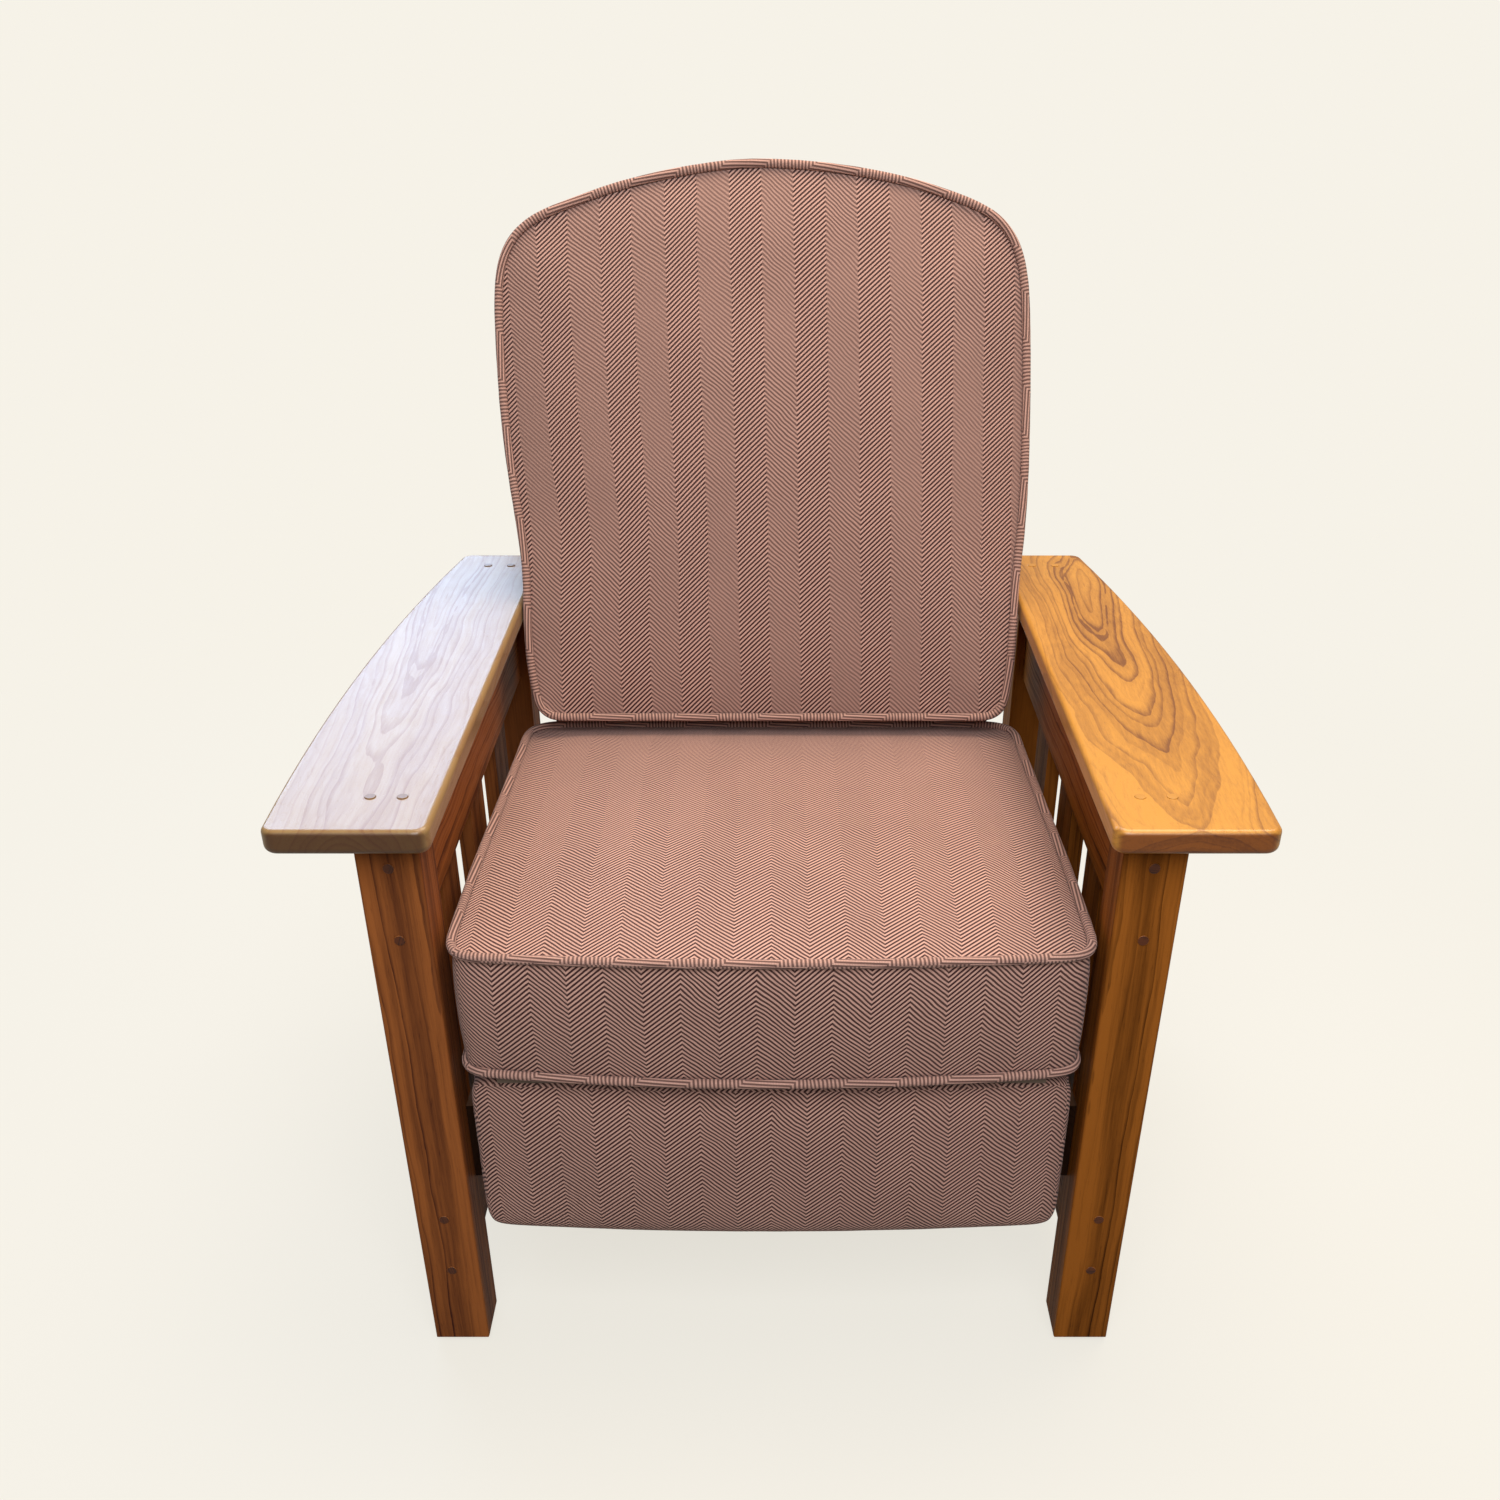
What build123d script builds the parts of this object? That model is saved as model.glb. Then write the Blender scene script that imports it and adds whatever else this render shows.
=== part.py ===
from build123d import *
import os
from math import atan2, cos, degrees, hypot, radians, sin

# A mission style reclining armchair: two slatted oak sides joined under flat bowed arms, and between
# them a gliding seat carriage that carries the seat cushion, the reclining back and a fold-out footrest.
# Millimetres. X runs across the chair, -Y is the front, +Z is up and the floor is at zero. While the
# pieces are built, Y is zero at the front faces of the front posts. "right" is the +X side.

os.makedirs("parts", exist_ok=True)

# Sides: posts, rails, slats and arms
clear_width = 610
post_size = 57
post_foot_chamfer = 4
glide_radius = 14
glide_height = 3
side_depth = 706
arm_top = 635
arm_thickness = 23
arm_front_overhang = 38
arm_rear_overhang = 16
arm_gap = 572
arm_width_front = 141
arm_width_middle = 139.5
arm_width_rear = 98
arm_middle_share = 0.48
arm_corner_radius = 13
arm_edge_round = 5
arm_lower_round = 7
rail_thickness = 35
top_rail_height = 112
bottom_rail_height = 102
bottom_rail_lift = 88
rail_edge_round = 3
tenon_length = 20
tenon_thickness = 15
tenon_shoulder = 12
slat_count = 3
slat_width = 76
slat_thickness = 16
slat_pitch = 167
slat_tenon_length = 12
slat_tenon_shoulder = 6
plug_radius = 5
plug_gap = 0.1
plug_depth = 8
plug_dome = 0.8
plug_dome_round = 0.5
plug_heights = [105, 175, 507, 580]
arm_plug_offset = 14
screw_head_radius = 4.5
screw_head_height = 3
screw_radius = 2.4
screw_gap = 0.1
post_screw_length = 68
arm_screw_length = 44

# Ties between the sides
stretcher_thickness = 25
stretcher_front = 430
apron_thickness = 22
apron_height = 80
apron_lift = 240
cleat_thickness = 15
cleat_height = 90
cleat_lift = 200
cleat_front = 40
cleat_rear_inset = 16
frame_tube_radius = 9
frame_tube_wall = 1.6
frame_tube_y = 470
frame_tube_z = 211
tube_flange_size = 30
tube_flange_thickness = 3

# Slide channels and the shoes that run in them
channel_depth = 16
channel_height = 32
channel_wall = 2.5
channel_lift = 240
channel_front_margin = 5
channel_rear_margin = 65
channel_to_apron_gap = 106.5
shoe_length = 50
shoe_front_y = 125
shoe_gap = 0.3
glide_travel = 45

# Steel carriage and linkage, one layer of plate beside the next
plate_thickness = 3
layer_gap = 1
channel_to_plate_gap = 3
carriage_front = 110
carriage_rear = 540
carriage_bottom = 223
carriage_top = 306
carriage_flange_width = 36
front_flange_start = 205
front_flange_end = 265
rear_flange_start = 400
rear_flange_end = 500
ear_width = 40
ear_root_y = 515
ear_root_z = 285
link_width = 22
upper_link_width = 20
pin_radius = 4
pin_gap = 0.05
front_pivot_y = 190
front_pivot_z = 278
rear_pivot_back = 11.6
rear_pivot_drop = 43.5
swing_link_length = 165
swing_link_overhang = 8
swing_link_offset = 10
swing_rest_angle = -15
long_link_length = 264
long_link_angle = 175
upper_pivot_distance = 35
upper_pivot_angle = -125
open_pivot_gap = 5
open_eye_wall = 4
carriage_tube_radius = 9
carriage_tube_y = 450
carriage_tube_z = 288

# Footrest
footrest_width = 588
footrest_bottom = 153
footrest_height = 190
footrest_front_corner_y = 5
footrest_bow = 18
footrest_pad_back = 33
footrest_corner_radius = 10
footrest_edge_round = 7
footrest_board_width = 500
footrest_board_thickness = 12
footrest_board_inset = 14
bracket_reach = 54
bracket_web_height = 66
bracket_height = 106
bracket_bottom = 175
bracket_flange_width = 33

# Seat frame, straps, deck and cushion
deck_side_overhang = 12
seat_frame_front = 58
seat_frame_rear = 500
seat_rail_width = 35
seat_rail_height = 40
strap_count = 5
strap_width = 55
strap_thickness = 2
deck_width = 524
deck_thickness = 6
deck_front = 0
deck_rear = 505
soft_gap = 0.3
seat_cushion_width = 586
seat_cushion_waist = 6
seat_cushion_corner_y = 0
seat_cushion_bow = 24
seat_cushion_rear = 530
seat_cushion_crown_top = 520
seat_cushion_crown_y = 205
seat_cushion_crown_radius = 1870
seat_cushion_corner_radius = 16
seat_cushion_edge_round = 9

# Back frame and cushion, drawn in the plane of the cushion's front seam and then leant back. Seen in
# that plane from the rear, so the chair's +X side lies at minus X there.
back_lean = 20
back_foot_y = 488
back_foot_z = 515
back_cushion_height = 586
back_cushion_foot_width = 548
back_cushion_waist_width = 556
back_cushion_width = 576
back_cushion_waist_height = 150
back_cushion_wide_height = 240
back_cushion_shoulder_height = 478
back_cushion_crest_width = 440
back_cushion_crest_height = 548
back_cushion_shoulder_bulge = 14
back_cushion_thickness = 115
back_cushion_crown = 28
back_cushion_crown_radius = 1900
stile_width = 38
stile_thickness = 24
stile_top = 500
hinge_drop = 137
crest_bottom = 430
crest_top = 560
back_rail_bottom = -20
back_rail_height = 60
back_slat_count = 4
back_slat_width = 56
back_slat_thickness = 10
hinge_bracket_width = 24
hinge_bracket_top = 40
hinge_pin_depth = 26
pin_head_radius = 8
pin_head_height = 2

# One overrun for every cut, and a quarter turn in degrees
overrun = 5
right_angle = 90

# Places that follow from the sizes
post_inner_x = clear_width / 2
post_outer_x = post_inner_x + post_size
post_centre_x = post_inner_x + post_size / 2
rear_post_front = side_depth - post_size
arm_underside = arm_top - arm_thickness
arm_inner_x = arm_gap / 2
arm_front = -arm_front_overhang
arm_rear = side_depth + arm_rear_overhang
arm_length = arm_rear - arm_front
rail_inner_x = post_centre_x - rail_thickness / 2
cleat_rear = side_depth - cleat_rear_inset
apron_front = side_depth - (post_size + apron_thickness) / 2
top_rail_bottom = arm_underside - top_rail_height
bottom_rail_top = bottom_rail_lift + bottom_rail_height
side_middle_y = side_depth / 2
cleat_inner_x = post_inner_x - cleat_thickness
channel_inner_x = cleat_inner_x - channel_depth
carriage_outer_x = channel_inner_x - channel_to_plate_gap
layer_pitch = plate_thickness + layer_gap
layer_inner_x = [carriage_outer_x - plate_thickness - layer_pitch * n for n in range(5)]
layer_outer_x = [x + plate_thickness for x in layer_inner_x]
channel_front = shoe_front_y - glide_travel - channel_front_margin
channel_rear = apron_front - channel_to_apron_gap
shoe_rear_y = channel_rear - channel_rear_margin - shoe_length
seat_frame_width = deck_width - 2 * deck_side_overhang
seat_frame_bottom = carriage_top
seat_frame_top = seat_frame_bottom + seat_rail_height
deck_bottom = seat_frame_top + strap_thickness
seat_cushion_bottom = deck_bottom + deck_thickness + soft_gap
stile_outer_x = layer_inner_x[1]
stile_front = back_cushion_thickness + soft_gap
stile_middle = stile_front + stile_thickness / 2


def toward(start, angle, distance):
    """The point of the side view that lies a distance away at an angle from +Y towards +Z."""
    return (start[0] + distance * cos(radians(angle)), start[1] + distance * sin(radians(angle)))


front_pivot = (front_pivot_y, front_pivot_z)
rear_pivot = (front_pivot_y - rear_pivot_back, front_pivot_z - rear_pivot_drop)
elbow_pivot = toward(front_pivot, swing_rest_angle, swing_link_length)
elbow_rear_pivot = (elbow_pivot[0] - rear_pivot_back, elbow_pivot[1] - rear_pivot_drop)
overhang_end = toward(front_pivot, swing_rest_angle, swing_link_length + swing_link_overhang)
overhang_pivot = toward(overhang_end, swing_rest_angle - right_angle, swing_link_offset)
footrest_pivot = toward(elbow_pivot, long_link_angle, long_link_length)
footrest_upper_pivot = toward(footrest_pivot, upper_pivot_angle, upper_pivot_distance)
back_plane = Plane(
    origin=(0, back_foot_y, back_foot_z),
    x_dir=(-1, 0, 0),
    z_dir=(0, cos(radians(back_lean)), -sin(radians(back_lean))),
)
hinge_point = back_plane.from_local_coords(Vector(0, -hinge_drop, stile_middle))
hinge_pivot = (hinge_point.Y, hinge_point.Z)


def block(x_from, x_to, y_from, y_to, z_from, z_to):
    """A box between six planes."""
    size = (x_to - x_from, y_to - y_from, z_to - z_from)
    middle = ((x_from + x_to) / 2, (y_from + y_to) / 2, (z_from + z_to) / 2)
    return Pos(*middle) * Box(*size)


def rod_x(centre, radius, x_from, x_to):
    """A round bar across the chair, its centre given in the side view."""
    bar = extrude(Plane.YZ * Pos(*centre) * Circle(radius), x_to - x_from)
    return Pos(x_from, 0, 0) * bar


def rod_y(x, z, radius, y_from, y_to):
    """A round bar from front to rear."""
    return Pos(x, (y_from + y_to) / 2, z) * Rot(90, 0, 0) * Cylinder(radius, y_to - y_from)


def rod_z(x, y, radius, z_from, z_to):
    """An upright round bar."""
    return Pos(x, y, (z_from + z_to) / 2) * Cylinder(radius, z_to - z_from)


def bar_plate(start, end, width, layer):
    """A round-ended flat bar between two pivots of the side view, in one layer of plate."""
    length = hypot(end[0] - start[0], end[1] - start[1])
    angle = degrees(atan2(end[1] - start[1], end[0] - start[0]))
    middle = ((start[0] + end[0]) / 2, (start[1] + end[1]) / 2)
    flat = Plane.YZ * Pos(*middle) * Rot(0, 0, angle) * SlotCenterToCenter(length, width)
    return Pos(layer_inner_x[layer], 0, 0) * extrude(flat, plate_thickness)


def bored(plate, pivots, radius):
    """A plate with a hole across the chair at each pivot."""
    for pivot in pivots:
        plate -= rod_x(pivot, radius, 0, post_outer_x)
    return plate


def outline(start, *steps):
    """A closed face: each step is an end point, or a middle and an end point for an arc."""
    edges = []
    here = start
    for step in steps:
        if isinstance(step[0], tuple):
            edges.append(ThreePointArc(here, step[0], step[1]))
            here = step[1]
        else:
            edges.append(Line(here, step))
            here = step
    if here != start:
        edges.append(Line(here, start))
    return make_face(edges)


def both_sides(shape):
    """The right-hand shape and its mirror image as one group of solids."""
    return Compound([*shape.solids(), *mirror(shape, about=Plane.YZ).solids()])


nodes = {}


def add(name, shape):
    """Keep a finished piece under its name."""
    nodes[name] = shape


def add_pair(name, shape):
    """Keep a right-hand piece and its left-hand mirror image."""
    add(name + "_right", shape)
    add(name + "_left", mirror(shape, about=Plane.YZ))


def post_screw_places():
    """Side view heights and the ends of the posts where screws and their plugs sit."""
    return [(height, rear) for height in plug_heights for rear in (False, True)]


def post_plug(height, rear, proud, gap=0):
    """A plug, or with an overrun and a gap the hole for it, in a post's front or rear face."""
    radius = plug_radius + gap
    if rear:
        return rod_y(post_centre_x, height, radius, side_depth - plug_depth, side_depth + proud)
    return rod_y(post_centre_x, height, radius, -proud, plug_depth)


def post_screw(height, rear, gap=0):
    """A screw, or its hole, from the bottom of the plug hole through the post into a rail's end."""
    head_end = plug_depth + screw_head_height
    shank_end = plug_depth + post_screw_length + gap
    head = (plug_depth, head_end)
    shank = (head_end, shank_end)
    if rear:
        head = (side_depth - head_end, side_depth - plug_depth)
        shank = (side_depth - shank_end, side_depth - head_end)
    screw = rod_y(post_centre_x, height, screw_head_radius + gap, *head)
    return screw + rod_y(post_centre_x, height, screw_radius + gap, *shank)


def arm_plug_places():
    """Plan places of the plugs over the posts."""
    middles = (post_size / 2, side_depth - post_size / 2)
    return [(post_centre_x + dx, y) for dx in (-arm_plug_offset, arm_plug_offset) for y in middles]


def arm_screw(x, y, gap=0):
    """A screw, or its hole, from the bottom of an arm's plug hole down into the post."""
    seat = arm_top - plug_depth
    head_end = seat - screw_head_height
    screw = rod_z(x, y, screw_head_radius + gap, head_end, seat)
    return screw + rod_z(x, y, screw_radius + gap, seat - arm_screw_length - gap, head_end)


def domed(plug, axis, keep_last):
    """A plug with its showing rim eased."""
    rims = plug.edges().filter_by(GeomType.CIRCLE).sort_by(axis)
    return fillet(rims[-1] if keep_last else rims[0], plug_dome_round)


def tenon(y_from, y_to, z_from, z_to):
    """The stub tenon on a rail's end."""
    half = tenon_thickness / 2
    return block(
        post_centre_x - half, post_centre_x + half, y_from, y_to,
        z_from + tenon_shoulder, z_to - tenon_shoulder,
    )


def rail_tenons(z_from, z_to):
    """Both tenons of one side rail."""
    front = tenon(post_size - tenon_length, post_size, z_from, z_to)
    rear = tenon(rear_post_front, rear_post_front + tenon_length, z_from, z_to)
    return front + rear


def make_sides():
    """Posts, rails and slats, with their mortises, screws and plugs."""
    rails = [(bottom_rail_lift, bottom_rail_top), (top_rail_bottom, arm_underside)]
    holes = Part()
    for height, rear in post_screw_places():
        holes += post_plug(height, rear, overrun, plug_gap)
        holes += post_screw(height, rear, screw_gap)
    for x, y in arm_plug_places():
        holes += arm_screw(x, y, screw_gap)
    for name, y_from in (("front_post", 0), ("rear_post", rear_post_front)):
        post = block(post_inner_x, post_outer_x, y_from, y_from + post_size, glide_height, arm_underside)
        post = chamfer(post.faces().sort_by(Axis.Z)[0].edges(), post_foot_chamfer)
        post = fillet(post.edges().filter_by(Axis.Z), rail_edge_round)
        for z_from, z_to in rails:
            post -= rail_tenons(z_from, z_to)
        add_pair(name, post - holes)
    slat_ends = [bottom_rail_top - slat_tenon_length, top_rail_bottom + slat_tenon_length]
    first_slat_y = side_middle_y - slat_pitch * (slat_count - 1) / 2
    slat_tenons = Part()
    half_thick = slat_thickness / 2
    for n in range(slat_count):
        middle = first_slat_y + slat_pitch * n
        half = slat_width / 2
        x_from = post_centre_x - half_thick
        x_to = post_centre_x + half_thick
        slat = block(x_from, x_to, middle - half, middle + half, bottom_rail_top, top_rail_bottom)
        half -= slat_tenon_shoulder
        tongue = block(x_from, x_to, middle - half, middle + half, *slat_ends)
        slat_tenons += tongue
        add_pair("slat_" + str(n + 1), slat + tongue)
    for name, (z_from, z_to) in zip(("bottom_rail", "top_rail"), rails):
        rail = block(
            rail_inner_x, rail_inner_x + rail_thickness, post_size, rear_post_front, z_from, z_to
        )
        rail = fillet(rail.faces().sort_by(Axis.Z)[0].edges().filter_by(Axis.Y), rail_edge_round)
        add_pair(name, rail + rail_tenons(z_from, z_to) - slat_tenons - holes)


def make_arm():
    """A flat arm board, straight inside and bowed outside, with holes for its screws and plugs."""
    middle_y = arm_front + arm_length * arm_middle_share
    middle_x = arm_inner_x + arm_width_middle
    board = outline(
        (arm_inner_x, arm_front),
        (arm_inner_x + arm_width_front, arm_front),
        ((middle_x, middle_y), (arm_inner_x + arm_width_rear, arm_rear)),
        (arm_inner_x, arm_rear),
    )
    arm = Pos(0, 0, arm_underside) * extrude(board, arm_thickness)
    arm = fillet(arm.edges().filter_by(Axis.Z), arm_corner_radius)
    arm = fillet(arm.faces().sort_by(Axis.Z)[-1].edges(), arm_edge_round)
    arm = fillet(arm.faces().sort_by(Axis.Z)[0].edges(), arm_lower_round)
    for x, y in arm_plug_places():
        arm -= rod_z(x, y, plug_radius + plug_gap, arm_top - plug_depth, arm_top + overrun)
        arm -= arm_screw(x, y, screw_gap)
    add_pair("arm", arm)


def make_fasteners():
    """Screws, the wooden plugs over them, and the glides under the posts."""
    plugs = []
    screws = []
    for height, rear in post_screw_places():
        plugs.append(domed(post_plug(height, rear, plug_dome), Axis.Y, rear))
        screws.append(post_screw(height, rear))
    for x, y in arm_plug_places():
        plug = rod_z(x, y, plug_radius, arm_top - plug_depth, arm_top + plug_dome)
        plugs.append(domed(plug, Axis.Z, True))
        screws.append(arm_screw(x, y))
    add("plugs", both_sides(Compound(plugs)))
    add("screws", both_sides(Compound(screws)))
    glides = []
    for y in (post_size / 2, side_depth - post_size / 2):
        glides.append(rod_z(post_centre_x, y, glide_radius, 0, glide_height))
    add("floor_glides", both_sides(Compound(glides)))


def make_ties():
    """What joins the two sides: cleats, a stretcher, a rear apron and a steel tube."""
    cleat = block(
        cleat_inner_x, post_inner_x, cleat_front, cleat_rear, cleat_lift, cleat_lift + cleat_height
    )
    add_pair("mechanism_cleat", cleat)
    stretcher = block(
        -rail_inner_x, rail_inner_x, stretcher_front, stretcher_front + stretcher_thickness,
        bottom_rail_lift, bottom_rail_top,
    )
    add("stretcher", stretcher)
    apron = block(
        -cleat_inner_x, cleat_inner_x, apron_front, apron_front + apron_thickness,
        apron_lift, apron_lift + apron_height,
    )
    tongues = block(
        -post_inner_x, post_inner_x, apron_front, apron_front + apron_thickness,
        cleat_lift + cleat_height, apron_lift + apron_height,
    )
    add("rear_apron", apron + tongues)
    centre = (frame_tube_y, frame_tube_z)
    tube = rod_x(centre, frame_tube_radius, -cleat_inner_x, cleat_inner_x)
    half = tube_flange_size / 2
    flange = block(
        cleat_inner_x - tube_flange_thickness, cleat_inner_x, frame_tube_y - half, frame_tube_y + half,
        cleat_lift, frame_tube_z + frame_tube_radius,
    )
    tube += flange + mirror(flange, about=Plane.YZ)
    bore = rod_x(centre, frame_tube_radius - frame_tube_wall, -post_inner_x, post_inner_x)
    add("frame_tube", tube - bore)


def make_slides():
    """The slide channels on the cleats and the shoes of the carriage inside them."""
    channel = block(
        channel_inner_x, cleat_inner_x, channel_front, channel_rear,
        channel_lift, channel_lift + channel_height,
    )
    channel -= block(
        channel_inner_x - overrun, cleat_inner_x - channel_wall,
        channel_front - overrun, channel_rear + overrun,
        channel_lift + channel_wall, channel_lift + channel_height - channel_wall,
    )
    add_pair("slide_channel", channel)
    shoes = []
    for y in (shoe_front_y, shoe_rear_y):
        shoe = block(
            carriage_outer_x, cleat_inner_x - channel_wall - shoe_gap, y, y + shoe_length,
            channel_lift + channel_wall + shoe_gap, channel_lift + channel_height - channel_wall - shoe_gap,
        )
        shoes.append(shoe)
    add("slide_shoes", both_sides(Compound(shoes)))


def make_carriage():
    """The carriage plates with their flanges and ears, the tube between them and their pins."""
    inner = layer_inner_x[0]
    plate = block(inner, carriage_outer_x, carriage_front, carriage_rear, carriage_bottom, carriage_top)
    plate += bar_plate((ear_root_y, ear_root_z), hinge_pivot, ear_width, 0)
    for y_from, y_to in ((front_flange_start, front_flange_end), (rear_flange_start, rear_flange_end)):
        plate += block(
            carriage_outer_x - carriage_flange_width, inner, y_from, y_to,
            carriage_top - plate_thickness, carriage_top,
        )
    plate = bored(plate, (front_pivot, rear_pivot, hinge_pivot), pin_radius)
    add_pair("carriage_plate", plate)
    tube = rod_x((carriage_tube_y, carriage_tube_z), carriage_tube_radius, -inner, inner)
    add("carriage_tube", tube)
    pins = [
        rod_x(front_pivot, pin_radius, layer_inner_x[3], carriage_outer_x),
        rod_x(rear_pivot, pin_radius, layer_inner_x[1], carriage_outer_x),
    ]
    add("carriage_pins", both_sides(Compound(pins)))


def make_links():
    """The four pairs of links that carry the footrest, each in its own layer, and their pins."""
    running = pin_radius + pin_gap
    front = bar_plate(front_pivot, elbow_pivot, link_width, 3)
    front += bar_plate(elbow_pivot, overhang_pivot, link_width, 3)
    front = bored(front, (front_pivot,), running)
    front = bored(front, (elbow_pivot, overhang_pivot), pin_radius)
    add("front_links", both_sides(front))
    rear = bar_plate(rear_pivot, elbow_rear_pivot, link_width, 1)
    add("rear_links", both_sides(bored(rear, (rear_pivot, elbow_rear_pivot), running)))
    lower = bar_plate(elbow_pivot, footrest_pivot, link_width, 2)
    lower += bar_plate(elbow_pivot, elbow_rear_pivot, link_width, 2)
    lower = bored(lower, (elbow_pivot,), running)
    add("lower_links", both_sides(bored(lower, (elbow_rear_pivot, footrest_pivot), pin_radius)))
    upper = bar_plate(overhang_pivot, footrest_upper_pivot, upper_link_width, 4)
    open_radius = pin_radius + open_pivot_gap
    upper += rod_x(footrest_upper_pivot, open_radius + open_eye_wall, layer_inner_x[4], layer_outer_x[4])
    upper = bored(upper, (overhang_pivot,), running)
    upper = bored(upper, (footrest_upper_pivot,), open_radius)
    add("upper_links", both_sides(upper))
    front_pins = [
        rod_x(elbow_pivot, pin_radius, layer_inner_x[3], layer_outer_x[2]),
        rod_x(overhang_pivot, pin_radius, layer_inner_x[4], layer_outer_x[3]),
    ]
    add("front_link_pins", both_sides(Compound(front_pins)))
    lower_pins = [
        rod_x(elbow_rear_pivot, pin_radius, layer_inner_x[2], layer_outer_x[1]),
        rod_x(footrest_pivot, pin_radius, layer_inner_x[3], layer_outer_x[2]),
    ]
    add("lower_link_pins", both_sides(Compound(lower_pins)))


def make_footrest():
    """The padded footrest, its board, and the brackets that hang it on the links."""
    board_back = footrest_pad_back + footrest_board_thickness
    bracket_inner = layer_inner_x[3]
    bracket_top = bracket_bottom + bracket_height
    bracket = block(
        bracket_inner, layer_outer_x[3], board_back, board_back + bracket_reach,
        bracket_top - bracket_web_height, bracket_top,
    )
    bracket += block(
        layer_outer_x[3] - bracket_flange_width, layer_outer_x[3], board_back, board_back + plate_thickness,
        bracket_bottom, bracket_top,
    )
    bracket = bored(bracket, (footrest_pivot,), pin_radius + pin_gap)
    bracket = bored(bracket, (footrest_upper_pivot,), pin_radius)
    add("footrest_brackets", both_sides(bracket))
    pin = rod_x(footrest_upper_pivot, pin_radius, layer_inner_x[4], layer_outer_x[3])
    add("footrest_pins", both_sides(pin))
    board = block(
        -footrest_board_width / 2, footrest_board_width / 2, footrest_pad_back, board_back,
        footrest_bottom + footrest_board_inset, footrest_bottom + footrest_height - footrest_board_inset,
    )
    half = footrest_width / 2
    bowed_front = footrest_front_corner_y - footrest_bow
    plan = outline(
        (-half, footrest_pad_back),
        (-half, footrest_front_corner_y),
        ((0, bowed_front), (half, footrest_front_corner_y)),
        (half, footrest_pad_back),
    )
    pad = Pos(0, 0, footrest_bottom) * extrude(plan, footrest_height)
    pad = fillet(pad.edges().filter_by(Axis.Y), footrest_corner_radius)
    front_face = pad.faces().sort_by(Axis.Y)[0]
    pad = fillet(front_face.edges(), footrest_edge_round)
    add("footrest_board", board)
    add("footrest_pad", pad)


def make_seat_frame():
    """The seat's wooden frame on the carriage flanges, with its straps and deck."""
    half = seat_frame_width / 2
    inner = half - seat_rail_width
    side = block(inner, half, seat_frame_front, seat_frame_rear, seat_frame_bottom, seat_frame_top)
    add_pair("seat_side_rail", side)
    front_end = seat_frame_front + seat_rail_width
    rear_end = seat_frame_rear - seat_rail_width
    front = block(-inner, inner, seat_frame_front, front_end, seat_frame_bottom, seat_frame_top)
    rear = block(-inner, inner, rear_end, seat_frame_rear, seat_frame_bottom, seat_frame_top)
    add("seat_front_rail", front)
    add("seat_rear_rail", rear)
    pitch = (seat_frame_rear - seat_frame_front) / strap_count
    straps = []
    for n in range(strap_count):
        middle = seat_frame_front + pitch * (n + 1 / 2)
        strap = block(
            -half, half, middle - strap_width / 2, middle + strap_width / 2, seat_frame_top, deck_bottom
        )
        straps.append(strap)
    add("seat_straps", Compound(straps))
    deck = block(
        -deck_width / 2, deck_width / 2, deck_front, deck_rear, deck_bottom, deck_bottom + deck_thickness
    )
    add("seat_deck", deck)


def make_seat_cushion():
    """A box cushion: bowed front, drawn-in sides and a crowned top."""
    half = seat_cushion_width / 2
    bowed_front = seat_cushion_corner_y - seat_cushion_bow
    middle_y = (seat_cushion_corner_y + seat_cushion_rear) / 2
    plan = outline(
        (-half, seat_cushion_corner_y),
        ((0, bowed_front), (half, seat_cushion_corner_y)),
        ((half - seat_cushion_waist, middle_y), (half, seat_cushion_rear)),
        (-half, seat_cushion_rear),
        ((seat_cushion_waist - half, middle_y), (-half, seat_cushion_corner_y)),
    )
    cushion = Pos(0, 0, seat_cushion_bottom) * extrude(plan, seat_cushion_crown_top - seat_cushion_bottom)
    cushion = fillet(cushion.edges().filter_by(Axis.Z), seat_cushion_corner_radius)
    crown = Rot(0, right_angle, 0) * Sphere(seat_cushion_crown_radius)
    cushion = cushion & (
        Pos(0, seat_cushion_crown_y, seat_cushion_crown_top - seat_cushion_crown_radius) * crown
    )
    top = cushion.faces().sort_by(Axis.Z)[-1]
    bottom = cushion.faces().sort_by(Axis.Z)[0]
    add("seat_cushion", fillet(top.edges() + bottom.edges(), seat_cushion_edge_round))


def make_back_cushion():
    """The back cushion: an arched panel with a waist between the arms and a crowned face."""
    foot = back_cushion_foot_width / 2
    waist = back_cushion_waist_width / 2
    wide = back_cushion_width / 2
    crest = back_cushion_crest_width / 2
    shoulder = (
        (wide + crest) / 2 + back_cushion_shoulder_bulge,
        (back_cushion_shoulder_height + back_cushion_crest_height) / 2 + back_cushion_shoulder_bulge,
    )
    face = outline(
        (-foot, 0),
        (foot, 0),
        (waist, back_cushion_waist_height),
        (wide, back_cushion_wide_height),
        (wide, back_cushion_shoulder_height),
        (shoulder, (crest, back_cushion_crest_height)),
        ((0, back_cushion_height), (-crest, back_cushion_crest_height)),
        ((-shoulder[0], shoulder[1]), (-wide, back_cushion_shoulder_height)),
        (-wide, back_cushion_wide_height),
        (-waist, back_cushion_waist_height),
    )
    depth = back_cushion_thickness + back_cushion_crown
    cushion = Pos(0, 0, -back_cushion_crown) * extrude(face, depth)
    crown = Rot(0, -right_angle, 0) * Sphere(back_cushion_crown_radius)
    cushion = cushion & (
        Pos(0, back_cushion_height / 2, back_cushion_crown_radius - back_cushion_crown) * crown
    )
    add("back_cushion", back_plane * cushion)


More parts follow.
